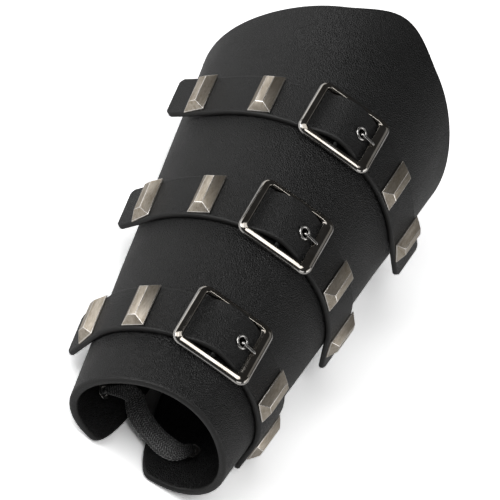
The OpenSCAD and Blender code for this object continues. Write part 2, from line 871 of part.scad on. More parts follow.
shell();
strap_wrist();
strap_middle();
strap_elbow();
buckle_frame_wrist();
buckle_frame_middle();
buckle_frame_elbow();
buckle_prong_wrist();
buckle_prong_middle();
buckle_prong_elbow();
prong_eyelet_wrist();
prong_eyelet_middle();
prong_eyelet_elbow();
stud_wrist_left_outer();
stud_wrist_left_inner();
stud_wrist_right_inner();
stud_wrist_right_outer();
stud_middle_left_outer();
stud_middle_left_inner();
stud_middle_right_inner();
stud_middle_right_outer();
stud_elbow_left_outer();
stud_elbow_left_inner();
stud_elbow_right_inner();
stud_elbow_right_outer();
rivet_caps_wrist();
rivet_caps_middle();
rivet_caps_elbow();
lace_eyelets_left();
lace_eyelets_right();
lace();
lace_tips();
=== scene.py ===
# %% [markdown]
# # A laced leather bracer
# A forearm guard cut from one sheet of charcoal leather, bent into a tapered
# shell and laced shut along the back. Three strap bands run over the front.
# The solid model gives every piece its place. This file gives each piece the
# form and the finish that the eye sees: rounded cut edges, grain, worn metal
# and a woven lace.

# %% Open the solid model
import math

import bmesh
import bpy
import numpy as np
from mathutils import Matrix, Vector, kdtree, noise


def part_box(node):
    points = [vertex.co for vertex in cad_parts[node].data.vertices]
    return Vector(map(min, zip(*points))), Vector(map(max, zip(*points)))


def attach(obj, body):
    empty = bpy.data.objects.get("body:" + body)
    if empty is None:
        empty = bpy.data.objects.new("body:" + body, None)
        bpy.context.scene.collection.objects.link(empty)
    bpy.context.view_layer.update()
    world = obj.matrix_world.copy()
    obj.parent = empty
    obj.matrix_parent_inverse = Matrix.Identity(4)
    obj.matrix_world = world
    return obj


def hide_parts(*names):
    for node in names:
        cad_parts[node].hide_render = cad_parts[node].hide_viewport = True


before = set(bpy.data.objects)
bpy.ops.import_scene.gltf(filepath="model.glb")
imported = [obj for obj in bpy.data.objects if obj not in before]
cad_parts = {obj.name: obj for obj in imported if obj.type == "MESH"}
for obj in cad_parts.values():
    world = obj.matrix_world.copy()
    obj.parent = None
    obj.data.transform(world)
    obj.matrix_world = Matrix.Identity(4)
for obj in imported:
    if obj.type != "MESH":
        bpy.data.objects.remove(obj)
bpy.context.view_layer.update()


# %% [markdown]
# ## The camera
# The bracer lies with its wrist end towards us and is seen from above, from
# the front and a little from the left. A long lens keeps the far end nearly
# as large as the near one, so the taper that we see is the leather's own.

# %% Place the camera
camera_data = bpy.data.cameras.new("long lens")
camera_data.sensor_width = 36
camera_data.lens = 168.317
camera_data.clip_start, camera_data.clip_end = 0.05, 20
camera = bpy.data.objects.new("camera", camera_data)
camera.location = (-0.138870, -0.812378, 0.829649)
camera.rotation_euler = [math.radians(d) for d in (38.1703, -28.7855, 21.9351)]
bpy.context.scene.collection.objects.link(camera)
bpy.context.scene.camera = camera
print("camera", round(camera.location.length, 3), "m from the middle of the floor")

# %% [markdown]
# ## Where the leather runs
# The shell is a cone whose section is an egg, flat on top. A point on it is
# named by its angle round the arm, from the buckles, and its distance from
# the wrist. These few functions are the pattern maker's measures: the
# leather, the straps and the lace are all laid out with them, in
# millimetres, and only then set down on the floor.

# %% The form of the shell
ARM_LEN, WRIST_R, ELBOW_R, WALL = 253.0, 37.0, 66.8, 3.8
FLAT, LOBE, FINE = 0.074, 0.065, -0.008
GAP_HALF, GAP_TURN, CORNER_W, WRIST_CORNER, ELBOW_CORNER = 3.1, 4.3, 14.0, 80.0, 20.0
CROWN_RISE, CROWN_HALF, EDGE_FALL = 6.0, 28.0, 0.175
TAPER = (ELBOW_R - WRIST_R) / ARM_LEN
EDGE_ANGLE = 180 - GAP_HALF


def sin(a):
    return np.sin(np.radians(a))


def cos(a):
    return np.cos(np.radians(a))


def plan(a):
    """The section as a share of its mean radius: an egg, flat on top."""
    return 1 - FLAT * cos(2 * a) + LOBE * cos(3 * a) + FINE * cos(4 * a)


def out_angle(a):
    """The way that the leather faces at an angle, in degrees."""
    slope = 2 * FLAT * sin(2 * a) - 3 * LOBE * sin(3 * a) - 4 * FINE * sin(4 * a)
    return a - np.degrees(np.arctan(slope / plan(a)))


def out_dir(a):
    o = out_angle(a)
    return np.stack([sin(o), 0 * o, cos(o)], -1)


def round_dir(a):
    o = out_angle(a)
    return np.stack([cos(o), 0 * o, -sin(o)], -1)


def on_shell(a, y, off=0.0, wall=0.0):
    """A point of the outer face, or off above it, or wall below it in the leather."""
    a, y = np.broadcast_arrays(np.asarray(a, float), np.asarray(y, float))
    r = (WRIST_R + TAPER * y - wall) * plan(a) + off
    return np.stack([r * sin(a), y, r * cos(a)], -1)


def elbow_edge(a):
    """How far the leather reaches: a crown over the buckles, then a slow fall to the flaps."""
    b = np.abs(a)
    crown = CROWN_RISE * sin(90 * np.minimum(1, b / CROWN_HALF)) ** 2
    return ARM_LEN - crown - EDGE_FALL * (np.sqrt(b * b + 64) - 8)


CORNER_SPAN = math.degrees(CORNER_W / (WRIST_R * float(plan(EDGE_ANGLE))))


def corner_start(side):
    """Where the rounded corner of a flap begins: the opening sits a little to the left."""
    return EDGE_ANGLE + side * GAP_TURN - CORNER_SPAN


def corner_rise(a, length):
    """How much of its length the leather loses to a flap's rounded corner."""
    start = np.where(a < 0, corner_start(-1), corner_start(1))
    t = np.clip((np.abs(a) - start) / CORNER_SPAN, 0, 1)
    return length * (1 - np.sqrt(1 - t * t))


print("the opening is", round(math.radians(2 * GAP_HALF) * WRIST_R, 1), "mm wide at the wrist")

# %% [markdown]
# ## Setting the bracer down
# The bracer is drawn with the arm's axis level and then rests on the two
# flaps of its back, which tips it: the elbow end is thicker, so the top
# line rises. Working along the arm and tipping at the very end keeps every
# formula short.

# %% Setting the bracer down on its back flaps
REST_ANGLE = 166
REST_TILT = math.degrees(math.atan(-TAPER * float(plan(REST_ANGLE) * cos(REST_ANGLE))))
REST_FRONT, REST_BACK, REST_LOW = -3.567, 245.434, -31.505  # the tipped shell's ends and lowest point


def set_down(points):
    """From the arm's own frame in millimetres to the room's in metres."""
    p = np.asarray(points, float)
    c, s = float(cos(REST_TILT)), float(sin(REST_TILT))
    y = p[..., 1] * c - p[..., 2] * s - (REST_FRONT + REST_BACK) / 2
    z = p[..., 2] * c + p[..., 1] * s - REST_LOW
    return np.stack([p[..., 0], y, z], -1) / 1000


SHELL_LOW, SHELL_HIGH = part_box("shell")
print("tilt of the bracer", round(REST_TILT, 3), "degrees")
print("the shell lies", round((SHELL_HIGH.y - SHELL_LOW.y) * 1000, 1), "mm long on the floor")

# %% [markdown]
# ## Turning points into pieces
# Every piece ends as a closed mesh. One helper makes the object, shades it
# smooth, gives it its finish, hangs it on the body it moves with and says
# which solids of the model it stands for.

# %% A helper that makes one piece
def unit(v):
    v = np.asarray(v, float)
    return v / np.linalg.norm(v, axis=-1, keepdims=True)


def make_piece(name, points, faces, material, body, nodes, marks=None, crease_angle=None):
    """A closed mesh from points in the arm's frame, with its finish, its body and its solids."""
    mesh = bpy.data.meshes.new(name)
    mesh.from_pydata([tuple(p) for p in set_down(points)], [], faces)
    mesh.validate()
    bm = bmesh.new()
    bm.from_mesh(mesh)
    bmesh.ops.recalc_face_normals(bm, faces=bm.faces)
    bm.to_mesh(mesh)
    bm.free()
    for key, values in (marks or {}).items():
        layer = mesh.attributes.new(key, "FLOAT", "POINT" if len(values) == len(points) else "FACE")
        layer.data.foreach_set("value", np.asarray(values, np.float32))
    mesh.shade_smooth()
    if crease_angle:
        mesh.set_sharp_from_angle(angle=math.radians(crease_angle))
    piece = bpy.data.objects.new(name, mesh)
    bpy.context.scene.collection.objects.link(piece)
    piece.data.materials.append(material)
    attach(piece, body)
    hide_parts(*nodes)
    return piece


print("nodes of the solid model to stand for:", len(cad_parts))

# %% [markdown]
# ## Materials from nodes
# Each finish is a Principled shader with a little tree in front of it. The
# helper below wires nodes by name, so that a finish reads like a recipe:
# what colours it, what roughens it and what raises its surface.

# %% A helper that wires a finish
class Finish:
    """One material and the nodes that feed its Principled shader."""

    def __init__(self, name):
        self.material = bpy.data.materials.new(name)
        self.material.use_nodes = True
        self.tree = self.material.node_tree
        self.shader = next(n for n in self.tree.nodes if n.type == "BSDF_PRINCIPLED")
        self.place = self.add("ShaderNodeTexCoord").outputs["Object"]

    def add(self, kind, **settings):
        node = self.tree.nodes.new(kind)
        for key, value in settings.items():
            setattr(node, key, value)
        return node

    def join(self, a, b):
        self.tree.links.new(a, b)

    def put(self, socket, value):
        if isinstance(value, bpy.types.NodeSocket):
            self.join(value, socket)
        else:
            socket.default_value = value

    def noise(self, scale, detail=3.0, rough=0.5, where=None):
        n = self.add("ShaderNodeTexNoise")
        self.join(where or self.place, n.inputs["Vector"])
        n.inputs["Scale"].default_value = scale
        n.inputs["Detail"].default_value = detail
        n.inputs["Roughness"].default_value = rough
        return n.outputs["Fac"]

    def cells(self, scale, feature, where):
        n = self.add("ShaderNodeTexVoronoi", feature=feature)
        self.join(where, n.inputs["Vector"])
        n.inputs["Scale"].default_value = scale
        return n.outputs["Distance"]

    def math(self, op, a, b=None, clamp=False):
        n = self.add("ShaderNodeMath", operation=op, use_clamp=clamp)
        self.put(n.inputs[0], a)
        if b is not None:
            self.put(n.inputs[1], b)
        return n.outputs[0]

    def remap(self, value, low, high, to_low=0.0, to_high=1.0, smooth=False):
        n = self.add("ShaderNodeMapRange", interpolation_type="SMOOTHSTEP" if smooth else "LINEAR")
        self.put(n.inputs["Value"], value)
        for key, v in (("From Min", low), ("From Max", high), ("To Min", to_low), ("To Max", to_high)):
            n.inputs[key].default_value = v
        return n.outputs["Result"]

    def blend(self, share, a, b):
        n = self.add("ShaderNodeMix", data_type="RGBA")
        self.put(n.inputs["Factor"], share)
        self.put(n.inputs["A"], a)
        self.put(n.inputs["B"], b)
        return n.outputs["Result"]

    def mark(self, name):
        return self.add("ShaderNodeAttribute", attribute_name=name).outputs["Fac"]

    def bump(self, height, distance, strength=1.0, under=None):
        n = self.add("ShaderNodeBump")
        self.join(height, n.inputs["Height"])
        n.inputs["Distance"].default_value = distance
        n.inputs["Strength"].default_value = strength
        if under is not None:
            self.join(under, n.inputs["Normal"])
        return n.outputs["Normal"]

    def set(self, **inputs):
        for key, value in inputs.items():
            self.put(self.shader.inputs[key.replace("_", " ")], value)
        return self.material


def grey(level, warm=0.0):
    """A linear colour: warm above zero leans to brown, below zero to blue."""
    return (level * (1 + warm), level, level * (1 - 1.3 * warm), 1.0)


print("a warm mid grey is", [round(c, 3) for c in grey(0.5, 0.1)])

# %% [markdown]
# ## Charcoal leather
# Drum-dyed leather is never one flat black. Its surface is a skin of small
# rounded pebbles with creases between them, the dye is a little uneven, and
# the finish coat is worn smoother on high places. Two sizes of cells make
# the pebbles, noise bends them so that they don't look like scales, and a
# mark painted on the mesh near each cut edge turns the leather into its
# burnished, smoother, slightly paler edge. The grain is deeper towards the
# wrist, where the leather is bent more tightly.

# %% The leather finishes
# Grain depth along the room's Y: full depth up to the first place, a good third beyond the second.
DEEP_GRAIN = (-0.06, 0.10, 1.0, 0.38)


def leather_finish(name, tone, grain_scale, grain_depth, gloss, edge_tone):
    """Pebbled and unevenly dyed leather with a burnished edge."""
    f = Finish(name)
    drift = f.add("ShaderNodeVectorMath", operation="ADD")
    wander = f.add("ShaderNodeTexNoise")
    f.join(f.place, wander.inputs["Vector"])
    wander.inputs["Scale"].default_value = grain_scale * 0.22
    shrink = f.add("ShaderNodeVectorMath", operation="SCALE")
    f.join(wander.outputs["Color"], shrink.inputs[0])
    shrink.inputs["Scale"].default_value = 0.9 / grain_scale
    f.join(f.place, drift.inputs[0])
    f.join(shrink.outputs[0], drift.inputs[1])
    bent = drift.outputs[0]
    pebble = f.remap(f.cells(grain_scale, "DISTANCE_TO_EDGE", bent), 0.0, 0.34, smooth=True)
    small = f.cells(grain_scale * 2.3, "F1", bent)
    patch = f.noise(38, 3, 0.55)
    skin = f.math("ADD", f.math("MULTIPLY", pebble, 0.75), f.math("MULTIPLY", small, -0.35))
    skin = f.math("ADD", skin, f.math("MULTIPLY", f.noise(grain_scale * 5, 2), 0.25))
    edge = f.mark("rim")
    calm = f.remap(edge, 0.15, 0.8, 1.0, 0.12)
    along = f.add("ShaderNodeSeparateXYZ")
    f.join(f.place, along.inputs[0])
    deep = f.remap(along.outputs["Y"], *DEEP_GRAIN)
    height = f.math("MULTIPLY", f.math("MULTIPLY", skin, calm), deep)
    wave = f.bump(f.noise(70, 2, 0.5), 0.0006, 0.35)
    normal = f.bump(height, grain_depth, 0.55, wave)
    shade = f.blend(f.remap(patch, 0.35, 0.7), grey(tone * 0.82), grey(tone * 1.16, 0.01))
    # Painted shade: the creases between the pebbles are painted darker, down to half the tone.
    shade = f.blend(f.remap(pebble, 0.0, 0.5, 0.55, 0.0), shade, grey(tone * 0.5))
    shade = f.blend(f.remap(edge, 0.3, 0.9, 0.0, 0.85), shade, grey(edge_tone, 0.03))
    rough = f.math("ADD", f.remap(patch, 0.3, 0.7, gloss - 0.05, gloss + 0.06),
                   f.remap(pebble, 0.0, 0.5, 0.14, 0.0))
    rough = f.math("ADD", rough, f.remap(edge, 0.3, 0.9, 0.0, 0.04))
    return f.set(Base_Color=shade, Roughness=rough, Normal=normal, Specular_IOR_Level=0.39)


shell_leather = leather_finish("charcoal shell leather", tone=0.0050, grain_scale=950, grain_depth=0.00115,
                               gloss=0.36, edge_tone=0.014)
strap_leather = leather_finish("charcoal strap leather", tone=0.0050, grain_scale=1050, grain_depth=0.00105,
                               gloss=0.36, edge_tone=0.012)
print("leathers ready:", shell_leather.name, "and", strap_leather.name)

# %% [markdown]
# ## Metals
# The buckles are steel under a dark smoky plating: nearly a mirror, so they
# show the white of the studio and the black of the leather. The studs are
# nickel that was darkened and rubbed back along their length, so their
# flats are cloudy and faintly streaked and their edges bright. The prongs
# and eyelets are plain steel. Noise squeezed along Y draws the streaks.

# %% The metal finishes
def rubbed_nickel():
    """Dark nickel with streaks rubbed along it, bright where the wear mark is."""
    f = Finish("rubbed antique nickel")
    rubbed = f.add("ShaderNodeVectorMath", operation="MULTIPLY")
    f.join(f.place, rubbed.inputs[0])
    rubbed.inputs[1].default_value = (1.0, 0.16, 1.0)
    cloud = f.noise(420, 4, 0.6, rubbed.outputs[0])
    speck = f.noise(2000, 4, 0.7, rubbed.outputs[0])
    stain = f.math("ADD", f.math("MULTIPLY", cloud, 0.55), f.math("MULTIPLY", speck, 0.45))
    base = f.blend(f.remap(stain, 0.40, 0.60), grey(0.31, 0.17), grey(0.53, 0.11))
    worn = f.mark("edge_wear")
    bright = f.math("MULTIPLY", worn, f.remap(cloud, 0.25, 0.55, 0.6, 1.0), clamp=True)
    base = f.blend(bright, base, grey(0.85, 0.04))
    rough = f.math("SUBTRACT", f.remap(stain, 0.36, 0.64, 0.40, 0.34), f.math("MULTIPLY", bright, 0.10))
    normal = f.bump(stain, 0.0001, 0.5)
    return f.set(Base_Color=base, Metallic=1.0, Roughness=rough, Normal=normal)


def smoky_plating():
    """A dark, nearly mirror-like plating, paler on worn edges, and painted near black and dull on the hidden
    centre bar as painted shade.
    """
    f = Finish("smoky steel plating")
    smear = f.noise(160, 3, 0.5)
    base = f.blend(f.remap(smear, 0.35, 0.65), grey(0.22, 0.10), grey(0.28, 0.06))
    worn = f.mark("edge_wear")
    base = f.blend(f.math("MULTIPLY", worn, 0.6), base, grey(0.62, 0.02))
    # Painted shade: the hidden centre bar is painted near black.
    base = f.blend(f.mark("pin_painted_shade"), base, grey(0.02))
    rough = f.math("ADD", f.remap(smear, 0.3, 0.7, 0.08, 0.13),
                   f.math("MULTIPLY", f.mark("pin_painted_shade"), 0.4))
    normal = f.bump(f.noise(900, 2, 0.5), 0.00002, 0.4)
    return f.set(Base_Color=base, Metallic=1.0, Roughness=rough, Normal=normal)


def bright_steel_finish():
    """Plain steel, finely rubbed."""
    f = Finish("bright steel")
    rub = f.noise(1400, 3, 0.55)
    base = f.blend(f.remap(rub, 0.3, 0.7), grey(0.40, 0.03), grey(0.54, 0.02))
    return f.set(Base_Color=base, Metallic=1.0, Roughness=f.remap(rub, 0.3, 0.7, 0.16, 0.24),
                 Normal=f.bump(rub, 0.00003, 0.4))


antique_nickel = rubbed_nickel()
smoky_steel = smoky_plating()
bright_steel = bright_steel_finish()
print("metals ready:", antique_nickel.name, "|", smoky_steel.name, "|", bright_steel.name)

# %% [markdown]
# ## A sheet of leather with rounded cut edges
# Thick leather is cut, and then its edge is sanded round and rubbed until it
# shines. To get that edge in the mesh, a sheet is built as two grids, the
# face and the back, that share their outermost row. The thickness of the
# sheet shrinks to nothing over the last millimetre and a half, along a
# curve that is a little squarer than a circle, like a real rubbed edge.

# %% The rounded edge and the grid of a sheet
EDGE_STEPS = np.array([0.0, 0.03, 0.12, 0.27, 0.48, 0.76, 1.1, 1.5, 2.1])


def edge_round(distance, radius, square=2.4):
    """The share of its thickness that a sheet has at a distance from its edge."""
    t = 1 - np.clip(distance / radius, 0, 1)
    return (1 - t ** square) ** (1 / square)


def fine_at_ends(length, step):
    """Places from 0 to length, close together near both ends."""
    inner = length - 2 * EDGE_STEPS[-1]
    n = max(2, int(math.ceil(inner / step)))
    middle = EDGE_STEPS[-1] + inner * np.arange(1, n) / n
    return np.concatenate([EDGE_STEPS, middle, length - EDGE_STEPS[::-1]])


def two_faced_sheet(face, back):
    """Points and quads of a closed sheet from two grids that share their border."""
    n, m = face.shape[:2]
    number_face = np.arange(n * m).reshape(n, m)
    number_back = number_face.copy()
    inside = np.zeros((n, m), bool)
    inside[1:-1, 1:-1] = True
    number_back[inside] = n * m + np.arange(inside.sum())
    points = np.concatenate([face.reshape(-1, 3), back[inside]])

    def quads(g, flip):
        q = np.stack([g[:-1, :-1], g[1:, :-1], g[1:, 1:], g[:-1, 1:]], -1).reshape(-1, 4)
        return q[:, ::-1] if flip else q

    both = np.concatenate([quads(number_face, False), quads(number_back, True)])
    return points, number_face, number_back, both


print("an edge is rounded in", len(EDGE_STEPS) - 1, "steps over", EDGE_STEPS[-1], "mm")

# %% [markdown]
# ## Holes in a sheet
# A leather punch makes a clean round hole. A Boolean would leave ragged,
# uneven faces on such a dense grid, so the hole is made in the grid itself:
# the quads inside it go, the ragged rim that is left is pulled to a circle,
# and a wall of quads joins the face to the back.

# %% Round holes through a sheet
def pierce(points, quads, number_face, number_back, centres, axes, radius):
    """Takes out the quads round each centre, pulls the ragged rim to a circle and walls the hole."""
    face_ids, back_of = set(number_face.ravel().tolist()), {}
    for a, b in zip(number_face.ravel(), number_back.ravel()):
        back_of[int(a)] = int(b)
    middles = points[quads].mean(1)
    keep = np.ones(len(quads), bool)
    walls = []
    for c, axis in zip(centres, axes):
        away = middles - c
        away -= (away @ axis)[:, None] * axis
        near = (np.linalg.norm(away, axis=1) < radius) & (np.linalg.norm(middles - c, axis=1) < 3 * radius)
        gone = quads[near & keep]
        keep &= ~near
        half_edges = set()
        for q in gone.tolist():
            if all(v in face_ids for v in q):
                for k in range(4):
                    half_edges.add((q[k], q[(k + 1) % 4]))
        border = [e for e in half_edges if (e[1], e[0]) not in half_edges]
        for v in {v for e in border for v in e}:
            for w in (v, back_of[v]):
                d = points[w] - c
                along = (d @ axis) * axis
                points[w] = c + along + (d - along) / np.linalg.norm(d - along) * radius
        walls += [[a, b, back_of[b], back_of[a]] for a, b in border]
    return points, quads[keep].tolist() + walls


print("a hole's wall is one ring of quads from face to back")

# %% [markdown]
# ## The shell
# The shell could be a cone with a Solidify modifier, but then its corners
# and its edge would be as sharp as card. Here the grid follows the pattern
# of the real sheet: rounded flap corners, a pointed crown at the elbow, and
# lines that crowd together at the edges so the rubbed edge is truly round.
# A slow, shallow wave keeps the faces from looking machined. The rows of
# lace eyelets are laid out first, because the sheet is pierced for them.

# %% Rows of lace eyelets
PAIRS, FIRST_ROW, ROW_PITCH, ROW_ANGLE, ROW_DRIFT = 8, 24.5, 24.0, 139.5, 0.008
LACE_BORE, LACE_RIM = 5.0, 8.4


def row_y(i):
    return FIRST_ROW + ROW_PITCH * i


def row_angle(i):
    """Towards the elbow a row moves a little nearer to the opening."""
    return ROW_ANGLE + ROW_DRIFT * ROW_PITCH * i


def flap_depth(i):
    """The leather's thickness along the axis of an eyelet."""
    a = row_angle(i)
    return float(WALL * plan(a) * cos(a - out_angle(a)))


def flap_point(side, i, off, up=0.0):
    """A point at an eyelet: off above the leather, up along the arm."""
    a = side * row_angle(i)
    return on_shell(a, row_y(i) + up) + out_dir(a) * off


BUCKLE_TILT = math.degrees(math.atan(TAPER * float(plan(0.0))))


def flap_axes(side, i):
    """Round the arm, along the arm and away from the leather, at an eyelet."""
    a = side * row_angle(i)
    o = float(out_angle(a))
    turn = Matrix.Rotation(math.radians(o), 3, "Y") @ Matrix.Rotation(math.radians(BUCKLE_TILT), 3, "X")
    return [np.array(turn.col[k]) for k in range(3)]


print("lace eyelets:", PAIRS, "pairs, from", row_y(0), "to", row_y(PAIRS - 1), "mm from the wrist")

# %% The grid of the shell
# The grid has lines along the arm, from the wrist edge to the elbow edge.
HALF_LINES, CORNER_LINES, SHELL_STEP, SHORT_LINE = 92, 28, 2.0, 60


def shell_grid():
    """Angle and distance along the arm of every grid point."""
    sides = {}
    for side in (-1, 1):
        start = corner_start(side)
        corner = start + CORNER_SPAN * sin(90 * np.arange(1, CORNER_LINES + 1) / CORNER_LINES)
        sides[side] = np.concatenate([np.linspace(0, start, HALF_LINES), corner])
    angles = np.concatenate([-sides[-1][:0:-1], sides[1]])
    low, high = corner_rise(angles, WRIST_CORNER), elbow_edge(angles) - corner_rise(angles, ELBOW_CORNER)
    near, n = fine_at_ends(ARM_LEN, SHELL_STEP), len(EDGE_STEPS)
    between = len(near) - 2 * n + 1
    rows = []
    for y0, y1 in zip(low, high):
        tight = min(1, (y1 - y0) / SHORT_LINE)
        y = np.empty(len(near))
        y[:n] = y0 + near[:n] * tight
        y[-n:] = y1 - (ARM_LEN - near[-n:]) * tight
        y[n:-n] = np.interp(np.arange(1, between), [0, between], [y[n - 1], y[-n]])
        rows.append(y)
    ys = np.array(rows)
    return np.repeat(angles[:, None], ys.shape[1], 1), ys


def distance_to_edge(middle, hops=12):
    """How far each point of a grid lies from the grid's border."""
    outline = np.concatenate([middle[:, 0], middle[-1], middle[::-1, -1], middle[0, ::-1]])
    hop = outline[1:] - outline[:-1]
    fine = np.concatenate([outline[:-1] + hop * f for f in np.linspace(0, 1, hops, endpoint=False)])
    tree = kdtree.KDTree(len(fine))
    for i, p in enumerate(fine):
        tree.insert(p, i)
    tree.balance()
    edge = np.array([tree.find(p)[2] for p in middle.reshape(-1, 3)]).reshape(middle.shape[:2])
    edge[0], edge[-1], edge[:, 0], edge[:, -1] = 0, 0, 0, 0
    return edge


print("the shell's grid is", " x ".join(str(n) for n in shell_grid()[1].shape))

# %% Build the shell
SHELL_EDGE, WAVE_SIZE, WAVE_DEPTH, WAVE_START = 1.7, 26, 0.22, 3.1
FACE_SUNK, CALM_REACH = 0.12, 12
SHELL_RUBBED, SHELL_FADE = 0.6, 1.6  # how wide the edge is burnished, and over how much more it fades


def slow_wave(p):
    """A smooth level for each point, the same in every run."""
    levels = [noise.noise(Vector(q / WAVE_SIZE) + Vector((WAVE_START, 0, 0))) for q in p.reshape(-1, 3)]
    return np.array(levels).reshape(p.shape[:-1])


def build_shell():
    aa, ys = shell_grid()
    outer, inner = on_shell(aa, ys), on_shell(aa, ys, 0, WALL)
    middle = (outer + inner) / 2
    edge = distance_to_edge(middle)
    plump = edge_round(edge, SHELL_EDGE)[..., None]
    calm = np.clip(edge / CALM_REACH, 0, 1)[..., None]
    wave = slow_wave(middle)[..., None] * WAVE_DEPTH * calm
    inwards = unit(inner - outer)
    face = middle + (outer - middle) * plump + inwards * (FACE_SUNK + wave) * calm
    back = middle + (inner - middle) * plump
    points, nf, nb, quads = two_faced_sheet(face, back)
    rim = np.zeros(len(points))
    rim[nf] = rim[nb] = 1 - np.clip((edge - SHELL_RUBBED) / SHELL_FADE, 0, 1)
    centres, axes = [], []
    for side in (-1, 1):
        for i in range(PAIRS):
            centres.append(flap_point(side, i, 0))
            axes.append(flap_axes(side, i)[2])
    points, faces = pierce(points, quads, nf, nb, centres, axes, (LACE_BORE + 1) / 2 + 0.15)
    return make_piece("leather_shell", points, faces, shell_leather, "bracer", ["shell"],
                      {"rim": rim})


shell = build_shell()
print("shell:", len(shell.data.vertices), "points")

# %% [markdown]
# ## The straps
# Each strap is a long strip that hugs the shell, climbs over the buckle's
# hidden centre bar and ends in free tabs with clipped corners. It is bent
# by computing where each point of the flat strip lands, so it keeps its
# width and thickness as leather does. A shallow crease line runs inside
# both long edges, and a groove underneath gives the prong its room.

# %% Where a strap runs
STRAP_W, STRAP_T, STRAP_CORNER = 25.0, 2.8, 2.5
STRAP_HALF = (93.5, 97.5, 99.5)
STRAP_Y = (38.5, 106.3, 172.3)
STRAP_FREE = (67.5, 70.0, 65.5)
STRAP_DRIFT = (4.4, 8.5, 10.0)
BUCKLE_L, BUCKLE_W, FRAME_H, PIN_D = 41.0, 34.8, 3.2, 2.2
FRAME_GAP = (0.3, 0.7, 1.2)
PIN_Z = FRAME_H - PIN_D / 2
LAY = 0.05  # what lies on the leather stands this far off it
EYELET_S, EYELET_BORE = 7.4, 4.3
RISE_REACH = BUCKLE_L / 2 - 0.5
NAMES = ("wrist", "middle", "elbow")


def travel_table(y):
    """How far round the leather each angle lies, and the angles."""
    a = np.arange(0, 122.0, 2)
    p = on_shell(a, np.full_like(a, y))
    return np.concatenate([[0], np.cumsum(np.linalg.norm(p[1:] - p[:-1], axis=1))]), a


TRAVEL = [travel_table(y) for y in STRAP_Y]


def lift(k, s):
    """How high strap k rises over the centre bar."""
    top = FRAME_GAP[k] + PIN_Z + PIN_D / 2 + 0.15 - LAY
    return np.where(np.abs(s) < RISE_REACH, top * cos(90 * s / RISE_REACH) ** 2, 0)


def strap_at(k, s, v, off):
    """A point of strap k: s along it, v across it, off above its back. Its free ends run straight on."""
    s, v, off = (np.asarray(x, float) for x in np.broadcast_arrays(s, v, off))
    held = np.clip(s, -STRAP_FREE[k], STRAP_FREE[k])
    a = np.sign(held) * np.interp(np.abs(held), *TRAVEL[k])
    y = STRAP_Y[k] + v + STRAP_DRIFT[k] * (s / STRAP_HALF[k]) ** 2
    stand = (off + LAY + lift(k, s))[..., None]
    return on_shell(a, y) + out_dir(a) * stand + round_dir(a) * (s - held)[..., None]


def strap_axes(k, s):
    """A place on a strap's face: its point, then along, across and away from it."""
    o = strap_at(k, s, 0, STRAP_T)
    x0 = strap_at(k, s + 0.5, 0, STRAP_T) - strap_at(k, s - 0.5, 0, STRAP_T)
    ey = unit(strap_at(k, s, 1, STRAP_T) - strap_at(k, s, -1, STRAP_T))
    ez = unit(np.cross(x0, ey))
    return o, np.cross(ey, ez), ey, ez


print("straps:", [2 * half for half in STRAP_HALF], "mm long,", STRAP_W, "x", STRAP_T, "mm")

# %% Build the straps
STRAP_EDGE, CREASE_IN, CREASE_W, CREASE_DEPTH = 1.25, 2.6, 0.45, 0.16
GROOVE_HALF, GROOVE_START, GROOVE_DEPTH = 1.5, -3.4, 1.5
STRAP_RUBBED, STRAP_FADE = 0.5, 1.1
STEP_ALONG, STEP_ACROSS = 1.15, 1.0


def build_strap(k):
    half, w = STRAP_HALF[k], STRAP_W / 2
    s = fine_at_ends(2 * half, STEP_ALONG) - half
    v = fine_at_ends(STRAP_W, STEP_ACROSS) - w
    ss, vv = np.meshgrid(s, v, indexing="ij")
    clipped = w - np.maximum(0, np.abs(ss) - half + STRAP_CORNER)
    vv = vv * clipped / w
    slant = (half + w - STRAP_CORNER - np.abs(ss) - np.abs(vv)) / math.sqrt(2)
    edge = np.minimum(np.minimum(half - np.abs(ss), w - np.abs(vv)), np.maximum(slant, 0))
    edge[0], edge[-1], edge[:, 0], edge[:, -1] = 0, 0, 0, 0
    plump = edge_round(edge, STRAP_EDGE)
    crease = CREASE_DEPTH * np.exp(-(((w - np.abs(vv)) - CREASE_IN) / CREASE_W) ** 2)
    crease *= np.clip((edge - 1.4) / 0.6, 0, 1)  # it fades before the cut ends
    half_t = STRAP_T / 2
    groove = np.where((np.abs(vv) < GROOVE_HALF) & (ss > GROOVE_START) & (ss < EYELET_S), GROOVE_DEPTH, 0.0)
    face = strap_at(k, ss, vv, half_t + half_t * plump - crease)
    back = strap_at(k, ss, vv, half_t - half_t * plump + groove)
    points, nf, nb, quads = two_faced_sheet(face, back)
    rim = np.zeros(len(points))
    rim[nf] = rim[nb] = 1 - np.clip((edge - STRAP_RUBBED) / STRAP_FADE, 0, 1)
    o, ex, ey, ez = strap_axes(k, EYELET_S)
    points, faces = pierce(points, quads, nf, nb, [o], [ez], (EYELET_BORE + 0.8) / 2 + 0.1)
    name = "strap_leather_" + NAMES[k]
    return make_piece(name, points, faces, strap_leather, "bracer", ["strap_" + NAMES[k]],
                      {"rim": rim})


straps = [build_strap(k) for k in range(3)]
print("straps:", [len(s.data.vertices) for s in straps], "points")

# %% [markdown]
# ## The buckles
# A cast frame with a rounded section. The left bar and the rails rise to a
# soft ridge near their inner edge and slope away outside. The right bar is
# wider and flatter, because the prong rests on it. A ring of sections is
# swept round the frame: each is the same few points, stretched between the
# outer and the inner outline, so the bars can differ in width and still
# join smoothly. The centre bar is hidden under the strap, so a mark paints
# it near black and dull, as painted shade.

# %% Small helpers for sections
def circle(steps):
    """Angles once round, without the last, which is the first."""
    return np.linspace(0, 360, steps, endpoint=False)


